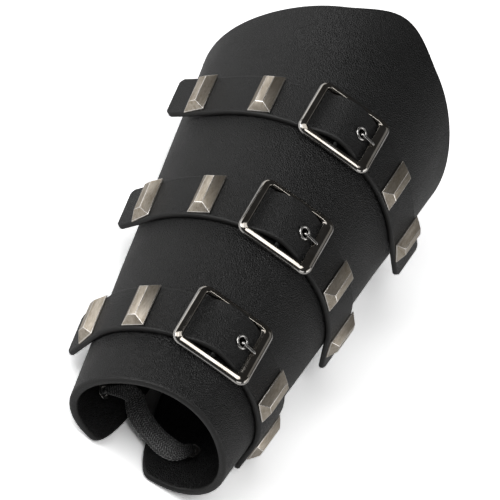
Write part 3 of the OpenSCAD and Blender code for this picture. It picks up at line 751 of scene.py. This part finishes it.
def fillet(corners, radius, steps):
    """A polygon with each corner replaced by a short curve."""
    c = np.asarray(corners, float)
    out = []
    for i in range(len(c)):
        p, q, r = c[i - 1], c[i], c[(i + 1) % len(c)]
        a, b = p - q, r - q
        cut = min(radius, 0.45 * np.linalg.norm(a), 0.45 * np.linalg.norm(b))
        a, b = q + unit(a) * cut, q + unit(b) * cut
        for t in np.linspace(0, 1, steps + 1):
            out.append((1 - t) ** 2 * a + 2 * t * (1 - t) * q + t * t * b)
    return np.array(out)


def ring_quads(rings, count, loop_rings=False):
    """Quads that join each ring of points to the next one, with flat ends unless the rings close a loop."""
    faces = []
    last = rings if loop_rings else rings - 1
    for i in range(last):
        j = (i + 1) % rings
        for k in range(count):
            n = (k + 1) % count
            faces.append([i * count + k, j * count + k, j * count + n, i * count + n])
    if not loop_rings:
        faces.append(list(range(count)))
        faces.append(list(range((rings - 1) * count, rings * count)))
    return faces


def gather(parts):
    """Several placed parts as one list of points and one of faces."""
    points, faces, base = [], [], 0
    for p, f in parts:
        points.append(p)
        faces += [[v + base for v in q] for q in f]
        base += len(p)
    return np.concatenate(points), faces


def placed(local, origin, ex, ey, ez):
    """Points of a piece's own frame, set down at a place and along three directions."""
    local = np.asarray(local, float)
    return origin + local[..., :1] * ex + local[..., 1:2] * ey + local[..., 2:3] * ez


def buckle_axes(k):
    """The middle of a buckle, on its underside, and its three directions."""
    turn = Matrix.Rotation(math.radians(BUCKLE_TILT), 3, "X")
    o = on_shell(0.0, STRAP_Y[k], FRAME_GAP[k])
    return o, *[np.array(turn.col[i]) for i in range(3)]


print("the buckles lean", round(BUCKLE_TILT, 1), "degrees with the front of the shell")

# %% The outline and the section of a buckle frame
BAR_W, REST_BAR_W, CORNER_R = 4.2, 6.2, 5.2


def rounded_outline(x0, x1, y1, radii, steps=10):
    """Points round a rectangle, the same number in each corner, starting at the right bar."""
    out = []
    for (cx, cy, start), r in zip(((x1, y1, 0), (x0, y1, 90), (x0, -y1, 180), (x1, -y1, 270)), radii):
        px, py = cx - math.copysign(r, cx), cy - math.copysign(r, cy)
        for t in np.linspace(0, 90, steps):
            out.append((px + r * cos(start + t), py + r * sin(start + t)))
    return np.array(out)


def even_out(outline, gaps=7):
    """Adds points along the straight sides between corners."""
    n, out = len(outline) // 4, []
    for c in range(4):
        corner = outline[c * n:(c + 1) * n]
        after = outline[((c + 1) * n) % len(outline)]
        out += list(corner)
        out += [corner[-1] + (after - corner[-1]) * f for f in np.linspace(0, 1, gaps + 2)[1:-1]]
    return np.array(out)


def even_section(corners, count=22):
    """The same number of points along any section, evenly spaced."""
    line = np.asarray(corners, float)
    scaled = line * [BAR_W, 1]
    far = np.concatenate([[0], np.cumsum(np.linalg.norm(scaled[1:] - scaled[:-1], axis=1))])
    return np.array([np.interp(np.linspace(0, far[-1], count), far, line[:, c]) for c in range(2)]).T


# A section is [share of the bar from its inner edge, height], over the top and back underneath.
DOME = np.concatenate([
    even_section([[0, 0.9], [0.01, 1.7], [0.05, 2.5], [0.12, 2.98], [0.2, FRAME_H], [0.3, 3.17],
                  [0.42, 2.98], [0.55, 2.76], [0.66, 2.54], [0.75, 2.33], [0.84, 2.0], [0.91, 1.6],
                  [0.97, 1.1], [1, 0.7]]),
    [[0.985, 0.5], [0.93, 0.21], [0.85, 0.15], [0.15, 0.15], [0.07, 0.21], [0.015, 0.5]]
])
PRONG_REST = np.concatenate([
    even_section([[0, 2.3], [0.01, 2.62], [0.05, 2.82], [0.15, 2.98], [0.3, 3.15], [0.42, FRAME_H],
                  [0.55, 3.17], [0.68, 3.0], [0.8, 2.66], [0.84, 2.5], [0.9, 2.05], [0.96, 1.5], [1, 1.0]]),
    [[0.985, 0.5], [0.95, 0.21], [0.9, 0.15], [0.5, 0.15], [0.2, 1.5], [0.03, 2.12]]
])
print("a frame's section has", len(DOME), "points")

# %% Build the buckle frames
PIN_SUNK, PIN_SIDES, PIN_RINGS = 1.0, 24, 9  # the centre bar's ends are sunk into the rails


def build_buckle(k):
    hx, hy = BUCKLE_L / 2, BUCKLE_W / 2
    outer = even_out(rounded_outline(-hx, hx, hy, [CORNER_R] * 4))
    inner = even_out(rounded_outline(-hx + BAR_W, hx - REST_BAR_W, hy - BAR_W, [2.2, 1.3, 1.3, 2.2]))
    rings = []
    for o, i in zip(outer, inner):
        rest = float(np.clip((i[0] - (hx - REST_BAR_W) + 1.5) / 1.5, 0, 1))
        section = DOME + (PRONG_REST - DOME) * rest
        flat = i + (o - i) * section[:, :1]
        rings.append(np.column_stack([flat, section[:, 1]]))
    rings = np.array(rings)
    count = rings.shape[1]
    faces = ring_quads(len(rings), count, loop_rings=True)
    wear = np.tile((PRONG_REST[:, 0] > 0.9) & (PRONG_REST[:, 1] > FRAME_H * 0.3), len(rings))
    pin_len = BUCKLE_W - 2 * BAR_W + 2 * PIN_SUNK
    pin = np.array([[[PIN_D / 2 * cos(t), y, PIN_Z + PIN_D / 2 * sin(t)] for t in circle(PIN_SIDES)]
                    for y in np.linspace(-pin_len / 2, pin_len / 2, PIN_RINGS)]).reshape(-1, 3)
    points, faces = gather([(rings.reshape(-1, 3), faces), (pin, ring_quads(PIN_RINGS, PIN_SIDES))])
    wear = np.concatenate([wear, np.zeros(len(pin))])
    # Painted shade: the centre bar's points are marked to be painted near black.
    pin_points_shaded = np.arange(len(points)) >= len(points) - len(pin)
    return make_piece("plated_buckle_" + NAMES[k], placed(points, *buckle_axes(k)), faces, smoky_steel,
                      "buckle_" + NAMES[k], ["buckle_frame_" + NAMES[k]],
                      {"edge_wear": wear, "pin_painted_shade": pin_points_shaded})


buckles = [build_buckle(k) for k in range(3)]
print("buckle frames:", [len(b.data.vertices) for b in buckles], "points")

# %% [markdown]
# ## The prongs
# A prong is a bent piece of flattened wire, rolled into an eye round the
# centre bar. It dips under the strap, comes up through the eyelet and lies
# on the right bar. Its middle line is drawn from the same few points as the
# solid, smoothed, and a rounded section is swept along it.

# %% Build the prongs
PRONG_W, PRONG_T, WIRE_SIDES, EYE_STEPS = 1.6, 1.2, 14, 32


def smooth_line(points, steps):
    """A smooth curve through the points."""
    p = np.asarray(points, float)
    out = []
    for i in range(len(p) - 1):
        a, b, c, d = p[max(i - 1, 0)], p[i], p[i + 1], p[min(i + 2, len(p) - 1)]
        for t in np.arange(steps) / steps:
            bend = (2 * a - 5 * b + 4 * c - d) * t * t + (3 * b - a - 3 * c + d) * t ** 3
            out.append(0.5 * (2 * b + (c - a) * t + bend))
    out.append(p[-1])
    return np.array(out)


def in_buckle(k, p):
    """A point in the buckle's own side view: along the strap, and up."""
    o, ex, ey, ez = buckle_axes(k)
    return np.array([(p - o) @ ex, (p - o) @ ez])


def prong_line(k):
    """The middle line in that view: from the eye, up through the eyelet, to the right bar."""
    before, e, after = (in_buckle(k, strap_at(k, EYELET_S + step, 0, STRAP_T)) for step in (-0.5, 0, 0.5))
    d = after - before
    up = unit(np.array([-d[1], d[0]]))
    right = np.array([up[1], -up[0]])
    under = e - up * (STRAP_T + 0.1) - right * 0.15
    bar_edge, rest = BUCKLE_L / 2 - REST_BAR_W, FRAME_H + PRONG_T / 2 + 0.05
    return np.array([
        [1.2, PIN_Z - 1.1], [4, PIN_Z - 1.1], under - [1.2, 0.1], under,
        e + up * 0.9 + right * 0.2, e + up * (1 + PRONG_T / 2) + right * (EYELET_BORE / 2 + 0.2),
        [bar_edge + 0.6, rest], [bar_edge + 2.2, rest]
    ])


def build_prong(k):
    line = smooth_line(prong_line(k), 6)
    round_section = [[cos(t), sin(t)] for t in circle(WIRE_SIDES)]
    rings = []
    for i, p in enumerate(line):
        d = unit(line[min(i + 1, len(line) - 1)] - line[max(i - 1, 0)])
        n = np.array([-d[1], d[0]])
        left = len(line) - 1 - i
        size = 1.0 if left > 5 else 0.45 + 0.11 * left
        w = PRONG_W / 2 * (0.62 if left == 0 else min(1, 0.75 + 0.06 * left))
        heights = [PRONG_T / 2 * (size * c[1] - 1 + size) for c in round_section]
        rings.append([[p[0] + n[0] * h, w * c[0], p[1] + n[1] * h] for h, c in zip(heights, round_section)])
    eye_section = fillet([[1.18, -1.2], [2.0, -1.2], [2.0, 1.2], [1.18, 1.2]], 0.25, 2)
    eye = np.array([[[r * cos(t), y, PIN_Z + r * sin(t)] for r, y in eye_section] for t in circle(EYE_STEPS)])
    points, faces = gather([
        (np.array(rings).reshape(-1, 3), ring_quads(len(rings), WIRE_SIDES)),
        (eye.reshape(-1, 3), ring_quads(EYE_STEPS, len(eye_section), loop_rings=True))
    ])
    return make_piece("steel_prong_" + NAMES[k], placed(points, *buckle_axes(k)), faces, bright_steel,
                      "prong_" + NAMES[k], ["buckle_prong_" + NAMES[k]])


prongs = [build_prong(k) for k in range(3)]
print("prongs:", [len(p.data.vertices) for p in prongs], "points")

# %% [markdown]
# ## Turned pieces
# Eyelets, posts, rivet caps and the lace's tips are all round, so each one
# is a small profile spun about its own axis. The profiles are drawn as the
# real tool leaves them: a rolled lip on an eyelet, a low dome on a cap.

# %% Helpers that spin a profile
def spun(profile, turns):
    """A ring with a hole: a closed profile of [radius, height] spun about Z."""
    p = np.asarray(profile, float)
    rings = np.array([[[r * cos(t), r * sin(t), z] for r, z in p] for t in circle(turns)])
    return rings.reshape(-1, 3), ring_quads(turns, len(p), loop_rings=True)


def turned(rows, turns):
    """A solid without a hole: rows of [radius, height] spun about Z, with flat ends."""
    rings = np.array([[[r * cos(t), r * sin(t), z] for t in circle(turns)] for r, z in rows])
    return rings.reshape(-1, 3), ring_quads(len(rows), turns)


def eyelet_profile(bore, tube, rim, thick, roll, back_roll):
    """A pressed eyelet cut through: a rolled lip above, a flat collar below, a tube between."""
    b, t, r = bore / 2, tube / 2, rim / 2
    return fillet([
        [b, -thick - back_roll], [r, -thick - back_roll], [r, -thick], [t, -thick], [t, 0], [r, 0],
        [r, roll * 0.5], [r - 0.42, roll], [b + 0.38, roll], [b, roll * 0.5]
    ], 0.34, 3)


print("an eyelet's profile has", len(eyelet_profile(4, 5, 8, 3, 0.6, 0.5)), "points")

# %% Prong eyelets and lace eyelets
for k in range(3):
    o, ex, ey, ez = strap_axes(k, EYELET_S)
    grip = STRAP_T - 1.1 + 2 * LAY
    p, f = spun(eyelet_profile(EYELET_BORE, EYELET_BORE + 0.8, EYELET_BORE + 2.8, grip, 0.7, 0.4), 48)
    make_piece("bright_eyelet_" + NAMES[k], placed(p, o + ez * LAY, ex, ey, ez), f, bright_steel, "bracer",
               ["prong_eyelet_" + NAMES[k]])

OUTSIDE_RIM, INSIDE_RIM = 0.7, 1.1
for side, word in ((-1, "left"), (1, "right")):
    parts = []
    for i in range(PAIRS):
        ex, ey, ez = flap_axes(side, i)
        grip = flap_depth(i) + INSIDE_RIM + OUTSIDE_RIM - 1.1
        p, f = spun(eyelet_profile(LACE_BORE, LACE_BORE + 1, LACE_RIM, grip, 0.6, 0.5), 40)
        parts.append((placed(p, flap_point(side, i, 0) + ez * (OUTSIDE_RIM - 0.6), ex, ey, ez), f))
    p, f = gather(parts)
    make_piece("pressed_eyelets_" + word, p, f, bright_steel, "bracer", ["lace_eyelets_" + word])
print("eyelets:", 3 + 2 * PAIRS)

# %% [markdown]
# ## The bar studs
# Twelve hipped bars, like small roofs: a narrow flat ridge, two long slopes
# and two short ones. They are cast with crisp edges and then tumbled, which
# takes just the very edge off and brightens it. The bevels are real faces,
# and a mark on them tells the nickel where it is rubbed bright.

# %% The shape of a stud
STUD_L, STUD_B, STUD_TOP, STUD_H, STUD_SLOPE, STUD_SHIFT = 23.6, 12.0, 4.2, 4.1, 3.3, 0.6
STUD_SKIRT, STUD_BEVEL = 0.6, 0.22


def stud_block():
    """The roof shape with fine bevels, and the wear mark of each face."""
    bm = bmesh.new()
    levels = [(STUD_B / 2, STUD_L / 2, 0), (STUD_B / 2, STUD_L / 2, STUD_SKIRT),
              (STUD_TOP / 2, STUD_L / 2 - STUD_SLOPE, STUD_H)]
    round_signs = ((-1, -1), (1, -1), (1, 1), (-1, 1))
    rows = [[bm.verts.new((sx * x, sy * y, z)) for sx, sy in round_signs] for x, y, z in levels]
    bm.faces.new(rows[0][::-1])
    bm.faces.new(rows[2])
    for lower, upper in zip(rows, rows[1:]):
        for k in range(4):
            bm.faces.new((lower[k], lower[(k + 1) % 4], upper[(k + 1) % 4], upper[k]))
    sharp = [e for e in bm.edges if e.calc_length() > 0.1 and min(v.co.z for v in e.verts) > 0.1]
    bmesh.ops.bevel(bm, geom=sharp, offset=STUD_BEVEL, segments=2, profile=0.5, affect="EDGES")
    bm.verts.ensure_lookup_table()
    points = np.array([v.co for v in bm.verts])
    faces = [[v.index for v in f.verts] for f in bm.faces]
    wear = np.array([float(f.calc_area() < 6 and f.calc_center_median().z > 0.3) for f in bm.faces])
    bm.free()
    return points, faces, wear


STUD_POINTS, STUD_FACES, STUD_WEAR = stud_block()
print("a stud has", len(STUD_FACES), "faces,", int(STUD_WEAR.sum()), "of them rubbed bright")

# %% Set the studs on the straps
STUD_INNER, STUD_FROM_END = 40.5, 19.7
POST_D, POST_PITCH, CAP_D, CAP_T, CAP_STAND = 3.0, 14.0, 7.0, 1.1, 0.3
SUNK_D, SUNK_T = CAP_D - 0.6, 0.7


def inner_depth(k, s):
    """From a strap's face down to the inside of the shell."""
    a = np.sign(s) * np.interp(abs(s), *TRAVEL[k])
    return STRAP_T + LAY + float(WALL * plan(a) * cos(a - out_angle(a)))


def post(y, length):
    """One post of a stud, its top sunk in the stud's block."""
    p, f = turned([(POST_D / 2, -length), (POST_D / 2, 0.3)], 18)
    return p + [0, y, 0], f


def build_stud(k, s, name, node):
    """The inner studs have long posts, through strap and shell."""
    o, ex, ey, ez = strap_axes(k, s)
    long_post = abs(s) == STUD_INNER
    length = inner_depth(k, s) + CAP_STAND + CAP_T / 2 if long_post else STRAP_T - SUNK_T / 2
    parts = [(STUD_POINTS, STUD_FACES)] + [post(v * POST_PITCH / 2, length) for v in (-1, 1)]
    p, f = gather(parts)
    wear = np.concatenate([STUD_WEAR, np.zeros(len(f) - len(STUD_WEAR))])
    p = placed(p + [0, STUD_SHIFT, LAY], o, ex, ey, ez)
    return make_piece(name, p, f, antique_nickel, "bracer", [node], {"edge_wear": wear}, 25)


for k in range(3):
    outer = STRAP_HALF[k] - STUD_FROM_END
    for s, word in ((-outer, "left_outer"), (-STUD_INNER, "left_inner"),
                    (STUD_INNER, "right_inner"), (outer, "right_outer")):
        build_stud(k, s, f"bar_stud_{NAMES[k]}_{word}", f"stud_{NAMES[k]}_{word}")
print("bar studs:", 4 * len(NAMES), "each on two posts")

# %% [markdown]
# ## The rivet caps
# A stud is held by its two posts, and each post ends in a cap on the far
# side. Under the inner studs that is the inside of the shell. The outer
# studs hold only the strap, so their smaller caps are sunk into its back.

# %% Build the rivet caps
# A low dome whose round side looks down: shares of its radius and of its thickness.
CAP_ROWS = ((0.55, 0.04), (0.8, 0.16), (0.94, 0.38), (1.0, 0.7), (0.97, 1.0))


def caps_under(k, s, d, t, down):
    """The two caps of the stud at s, their low sides at the height down."""
    p, f = turned([(r * d / 2, z * t) for r, z in CAP_ROWS], 28)
    return [(placed(p + [0, STUD_SHIFT + v * POST_PITCH / 2, down], *strap_axes(k, s)), f) for v in (-1, 1)]


for k in range(3):
    parts = []
    for side in (-1, 1):
        s = side * STUD_INNER
        parts += caps_under(k, s, CAP_D, CAP_T, LAY - inner_depth(k, s) - CAP_STAND - CAP_T)
        parts += caps_under(k, side * (STRAP_HALF[k] - STUD_FROM_END), SUNK_D, SUNK_T, -STRAP_T)
    p, f = gather(parts)
    make_piece("domed_caps_" + NAMES[k], p, f, antique_nickel, "bracer", ["rivet_caps_" + NAMES[k]],
               {"edge_wear": np.zeros(len(p))}, 40)
print("rivet caps:", 8 * len(NAMES), "with", len(p), "points on each strap")

# %% [markdown]
# ## The lace
# A flat woven lace spans the back at the wrist, where it is slack and
# swings like a loose S, and then crosses from side to side up to the elbow.
# Its course is a list of places with a width and a thickness: it bunches up
# where it goes through an eyelet and spreads flat where it is free.

# %% The course of the lace
LACE_W, LACE_T, LACE_SWING, LACE_LEAN, LACE_BOW = 11.0, 1.3, 8.7, 22.0, 3.0
THREAD_W, THREAD_T = 3.4, 2.6
ALONG = np.array([0.0, 1.0, 0.0])
OVER_RIM = OUTSIDE_RIM + LACE_T / 2 + 0.12


def under_rim(i):
    return -flap_depth(i) - INSIDE_RIM - 0.3 - LACE_T / 2


def bore_point(side, i, off):
    """A point on the axis of an eyelet, so a little further along where it lies deeper."""
    return flap_point(side, i, off, -off * math.tan(math.radians(BUCKLE_TILT)))


# Each place of the course is [point, direction of the width, width, thickness].
def thread_out(side, i):
    """Out from the inside, through an eyelet."""
    return [[bore_point(side, i, under_rim(i) - 0.4), ALONG, THREAD_W + 0.8, THREAD_T - 0.8],
            [bore_point(side, i, -flap_depth(i)), ALONG, THREAD_W, THREAD_T],
            [flap_point(side, i, 0), ALONG, THREAD_W, THREAD_T]]


def outside_run(side, i):
    """The short run on the outside to the next eyelet of the same flap."""
    across = round_dir(side * row_angle(i))
    run = [[flap_point(side, i, OVER_RIM, 1.4), ALONG + across, THREAD_W - 0.3, THREAD_T - 1.2],
           [flap_point(side, i, OVER_RIM, 5.2), across, LACE_W * 0.58, LACE_T]]
    run += [[flap_point(side, i, 0.35 + LACE_T / 2, ROW_PITCH * f), across, LACE_W * 0.73, LACE_T]
            for f in (0.38, 0.5, 0.62)]
    run.append([flap_point(side, i, OVER_RIM, ROW_PITCH - 5.2), across, LACE_W * 0.58, LACE_T])
    run.append([flap_point(side, i, OVER_RIM, ROW_PITCH - 1.4), across - ALONG,
                THREAD_W - 0.3, THREAD_T - 1.2])
    return run


def crossing(side_a, i, side_b, j, bow):
    """The run on the inside from one flap to the other, bowed off the leather."""
    a, b = bore_point(side_a, i, under_rim(i)), bore_point(side_b, j, under_rim(j))
    flat = unit(np.array([a[1] - b[1], b[0] - a[0], 0]))
    return [[a + (b - a) * f + np.array([0, 0, bow * sin(180 * f)]), flat,
             LACE_W * (0.54 + 0.36 * sin(180 * f)), LACE_T] for f in (0.15, 0.32, 0.5, 0.68, 0.85)]


# The slack span at the wrist: share of the span, swing, rise, share of the width
SLACK = ((0.23, 0.72, 0, 0.84), (0.39, -0.1, -0.3, 1), (0.63, -0.72, 0.3, 1),
         (0.81, -0.95, 1.8, 1), (0.93, -0.62, 2, 0.68))


def slack_span():
    """The strand at the wrist, which hangs slack."""
    a, b = bore_point(-1, 0, under_rim(0)), bore_point(1, 0, under_rim(0))
    line = [a + (b - a) * f + np.array([0, LACE_SWING * swing, rise]) for f, swing, rise, _ in SLACK]
    line = [a] + line + [b]
    up = np.array([0, -float(sin(LACE_LEAN)), float(cos(LACE_LEAN))])
    return [[line[i], unit(np.cross(up, line[i + 1] - line[i - 1])), LACE_W * SLACK[i - 1][3], LACE_T]
            for i in range(1, len(SLACK) + 1)]


def tail(side, i):
    """The last bit, inside a flap, rolled tight into its tip."""
    across = round_dir(side * row_angle(i))
    places = ((6, 0.5 * LACE_W, LACE_T), (10, 0.44 * LACE_W, LACE_T), (15, 2.2, 1.6), (20, 2.2, 1.6))
    return [[flap_point(side, i, under_rim(i) - 1.5, up), across, w, t] for up, w, t in places]


def half_lace(side, i, bow):
    """From the first row to the last: out, along, in, across, and so on."""
    run = thread_out(side, i) + outside_run(side, i) + thread_out(side, i + 1)[::-1]
    if i + 2 >= PAIRS:
        return run + tail(side, i + 1)
    return run + crossing(side, i + 1, -side, i + 2, bow) + half_lace(-side, i + 2, bow)


LACE_COURSE = (half_lace(-1, 0, LACE_BOW)[::-1] + slack_span()
               + half_lace(1, 0, LACE_BOW + LACE_T + 1.2))
print("the lace's course has", len(LACE_COURSE), "places")

# %% [markdown]
# ## The weave
# A flat cotton lace is braided, and its threads cross in rows of small
# slanting ribs, a little over a millimetre apart. The lace is a sweep of flat sections, set closer than a
# third of a millimetre, and each section's thickness swells and shrinks
# with the ribs. The same wave is kept as a mark, so that the finish can paint
# light flecks on the back of each rib as painted glints and leave the grooves black.

# %% Weave the lace
WEAVE_STEP, COLUMNS, RIB_PITCH, RIB_SLANT = 0.29, 7, 1.15, 1.3
RIB_PUFF, COLUMN_PUFF, EDGE_SCALLOP, SCALLOP_PITCH = 0.12, 0.07, 0.02, 1.5
SECTION_HALF, KEEP_WIDE, KEEP_HIGH = 29, 0.97, 0.82  # the ribs stay within the lace's own size


def weave_lace():
    """The lace as one sweep: its points, its faces, its length and the mark of its ribs."""
    last, places = ALONG, []
    for p, w, wide, thick in LACE_COURSE:
        w = unit(w)
        w = -w if w @ last < 0 else w
        last = w
        places.append(np.concatenate([p, w, [wide, thick]]))
    rough = smooth_line(places, 12)
    hop = np.linalg.norm(rough[1:, :3] - rough[:-1, :3], axis=1)
    far = np.concatenate([[0], np.cumsum(hop)])
    length = far[-1]
    steps = np.arange(0, length, WEAVE_STEP)
    line = np.array([np.interp(steps, far, rough[:, c]) for c in range(8)]).T
    half = sin(np.linspace(90, -90, SECTION_HALF))
    side_wave = np.concatenate([half, half[-2:0:-1]])
    thick = (1 - np.abs(side_wave) ** 5) ** 0.45
    up_wave = thick * np.where(np.arange(len(side_wave)) < len(half), 1, -1)
    count = len(side_wave)
    rings, ribs = [], []
    for i, row in enumerate(line):
        t = unit(line[min(i + 1, len(line) - 1), :3] - line[max(i - 1, 0), :3])
        w = unit(row[3:6] - t * (t @ row[3:6]))
        u = np.cross(t, w)
        across = side_wave * row[6] / 2
        column = across / row[6] * COLUMNS
        zigzag = np.abs(column - np.round(column)) * row[6] / COLUMNS
        rib = np.sin(2 * np.pi * (steps[i] + zigzag * RIB_SLANT) / RIB_PITCH)
        puff = 1 + RIB_PUFF * rib - COLUMN_PUFF * np.cos(2 * np.pi * column)
        scallop = 1 + EDGE_SCALLOP * np.sin(2 * np.pi * steps[i] / SCALLOP_PITCH)
        wide, high = across * scallop * KEEP_WIDE, up_wave * row[7] / 2 * puff * KEEP_HIGH
        rings.append(row[:3] + wide[:, None] * w + high[:, None] * u)
        ribs.append(0.5 + 0.35 * rib - 0.15 * np.cos(2 * np.pi * column))
    rings = np.array(rings)
    return rings.reshape(-1, 3), ring_quads(len(rings), count), length, np.array(ribs).ravel()


lace_points, lace_faces, lace_length, lace_ribs = weave_lace()
print("lace:", round(lace_length), "mm long,", len(lace_points), "points")

# %% The finish of the lace
def lace_finish():
    """Black cotton: painted glints in flecks on the back of each rib of the weave, and a few fibres stand
    off.
    """
    f = Finish("black woven lace")
    fibre = f.noise(2600, 4, 0.65)
    fleck = f.noise(1700, 3, 0.7)
    back = f.mark("rib")
    base = f.blend(f.remap(fibre, 0.35, 0.7), grey(0.020), grey(0.060))
    # Painted glints: pale grey flecks on the backs of the ribs, where light would catch them.
    painted_rib_glint = f.math("MULTIPLY", f.remap(back, 0.3, 0.9, smooth=True), f.remap(fleck, 0.40, 0.62))
    base = f.blend(painted_rib_glint, base, grey(0.55))
    normal = f.bump(f.math("ADD", fibre, f.math("MULTIPLY", fleck, 0.5)), 0.0003, 0.7)
    return f.set(Base_Color=base, Roughness=f.remap(fibre, 0.3, 0.7, 0.55, 0.8), Normal=normal,
                 Sheen_Weight=0.3, Sheen_Roughness=0.4)


lace_cloth = lace_finish()
make_piece("woven_lace", lace_points, lace_faces, lace_cloth, "bracer", ["lace"],
           {"rib": lace_ribs})
print("the lace is finished with", lace_cloth.name)

# %% [markdown]
# ## The tips of the lace
# Each end is rolled tight and held by a thin metal tube, pressed shut with
# a groove near its mouth and closed round at its point. It is a small
# turned piece like the eyelets, set in line with the last bit of the lace.

# %% Crimp the lace tips
TIP_ROWS = ((1.45, 3.6), (1.45, 0.1), (1.62, 0.0), (1.82, 0.25), (1.85, 1.6), (1.72, 2.0), (1.85, 2.4),
            (1.85, 12.6), (1.7, 13.2), (1.3, 13.7), (0.7, 13.98), (0.05, 14.0))
TIP_BACK = 3.5  # the tube's mouth reaches this far back over the lace


def build_tips():
    """A tube at each end of the course, in line with the last bit of lace."""
    parts = []
    for end, before in ((0, 1), (-1, -2)):
        p, q = LACE_COURSE[end][0], LACE_COURSE[before][0]
        d = unit(p - q)
        side = unit(np.cross(d, ALONG if abs(d @ ALONG) < 0.9 else [1.0, 0, 0]))
        up = np.cross(d, side)
        tube, faces = turned(TIP_ROWS, 24)
        parts.append((placed(tube, p - d * TIP_BACK, side, up, d), faces))
    return gather(parts)


tip_points, tip_faces = build_tips()
make_piece("crimped_tips", tip_points, tip_faces, antique_nickel, "bracer", ["lace_tips"],
           {"edge_wear": np.zeros(len(tip_points))})
print("lace tips: 2, each", TIP_ROWS[-1][1], "mm long")

# %% [markdown]
# ## The studio
# A white sheet and large soft lamps. The sheet is paler than white to the
# camera, so the open floor and the faint outer shadow are burnt out as in a
# catalogue picture, and the deep shadow under the bracer stays. To the light
# and to the metal that mirrors it, it is an ordinary pale floor. So it is,
# to the camera too, in the strip that shows through the open back, as painted
# shade: the real gap is dark inside, and a burnt-out floor there would glow.

# %% Floor and world
FLOOR_HALF, FLOOR_DROP = 3.0, 0.0004
# The strip under the open back that is painted dim as shade: full within the first distance from the middle,
# none beyond the second, in metres.
SHADE_STRIP_X, SHADE_STRIP_Y = (0.014, 0.020), (0.082, 0.090)
AIR = 0.06


def soft_white(name, seen, mirrored, real):
    """A matt sheet, lighter to the camera than to the light, but painted plain and dim in the strip under the
    gap, as shade.
    """
    f = Finish(name)
    f.tree.nodes.remove(f.shader)
    out = next(n for n in f.tree.nodes if n.type == "OUTPUT_MATERIAL")
    paths = f.add("ShaderNodeLightPath")
    mirror = f.math("MAXIMUM", paths.outputs["Is Glossy Ray"], paths.outputs["Is Transmission Ray"])
    sheet = f.add("ShaderNodeBsdfDiffuse")
    colour = f.blend(mirror, grey(real), grey(mirrored))
    spot = f.add("ShaderNodeSeparateXYZ")
    f.join(f.place, spot.inputs[0])
    # Painted shade: under the open back the sheet keeps its plain, dim colour to the camera too.
    under = f.math("MULTIPLY", f.remap(f.math("ABSOLUTE", spot.outputs["X"]), *SHADE_STRIP_X, 1.0, 0.0),
                   f.remap(f.math("ABSOLUTE", spot.outputs["Y"]), *SHADE_STRIP_Y, 1.0, 0.0))
    light = f.blend(under, grey(seen), grey(real))
    f.join(f.blend(paths.outputs["Is Camera Ray"], colour, light), sheet.inputs["Color"])
    f.join(sheet.outputs[0], out.inputs["Surface"])
    return f.material


def build_floor():
    mesh = bpy.data.meshes.new("floor")
    corners = ((-1, -1), (1, -1), (1, 1), (-1, 1))
    mesh.from_pydata([(x * FLOOR_HALF, y * FLOOR_HALF, -FLOOR_DROP) for x, y in corners], [], [(0, 1, 2, 3)])
    floor = bpy.data.objects.new("floor", mesh)
    bpy.context.scene.collection.objects.link(floor)
    floor.data.materials.append(soft_white("studio floor", seen=2.3, mirrored=0.8, real=0.6))


build_floor()
world = bpy.data.worlds.new("studio air")
bpy.context.scene.world = world
world.use_nodes = True
backdrop = world.node_tree.nodes["Background"]
backdrop.inputs["Color"].default_value = grey(1.0)
backdrop.inputs["Strength"].default_value = AIR
print("the floor is", 2 * FLOOR_HALF, "m wide and the air's level is", AIR)

# %% [markdown]
# ## The lamps
# A black, slightly shiny sheet shows the lamps rather than its own colour.
# So the lamps are placed by what the leather and the metal should mirror: a
# key softbox high on the left, near, so that the wrist end is a little
# lighter than the far end, low panels all round that draw the outlines and
# light the slopes of the studs, and a strip over the camera that runs as a
# white line along the lower rail of each buckle. The level of a lamp is
# the share of its colour that a card facing it would show, so the lamps
# can be moved away or made larger without a change in the exposure.

# %% Lamps
LAMP_FAR = 1.6
LAMP_AIM = Vector((0, 0, 0.05))


def lamp(name, azimuth, elevation, level, wide, tall, far=LAMP_FAR):
    """A softbox: azimuth from the elbow end, clockwise from above, in degrees."""
    a, e = math.radians(azimuth), math.radians(elevation)
    away = Vector((math.cos(e) * math.sin(a), math.cos(e) * math.cos(a), math.sin(e)))
    data = bpy.data.lights.new(name, "AREA")
    data.shape = "RECTANGLE"
    data.size, data.size_y = wide, tall
    data.energy = math.pi ** 2 * far ** 2 * level
    light = bpy.data.objects.new(name, data)
    light.location = LAMP_AIM + away * far
    light.rotation_euler = (-away).to_track_quat("-Z", "Y").to_euler()
    bpy.context.scene.collection.objects.link(light)


NEAR = 0.85
lamp("key softbox high on the left", -116, 43, 0.28, 0.45, 0.45, NEAR)
lamp("top softbox on the left", -110, 70, 0.20, 0.45, 0.45, NEAR)
lamp("low panel on the left", -76, 13, 0.12, 0.9, 0.7)
lamp("low panel behind", -38, 14, 0.12, 1.0, 0.7)
lamp("low panel on the right", 90, 16, 0.23, 1.2, 0.8)
lamp("high panel behind on the right", 50, 38, 0.03, 0.9, 0.7)
lamp("low panel in front on the left", -108, 20, 0.25, 0.8, 0.7)
lamp("low panel in front on the right", 146, 12, 0.07, 0.8, 0.6)
lamp("strip over the camera", 172, 61, 0.19, 0.7, 0.44)
print("lamps:", len(bpy.data.lights))

# %% [markdown]
# ## Closing the frame
# Colours are shown plainly, without a film look.

# %% Close the frame
bpy.context.scene.view_settings.view_transform = "Standard"
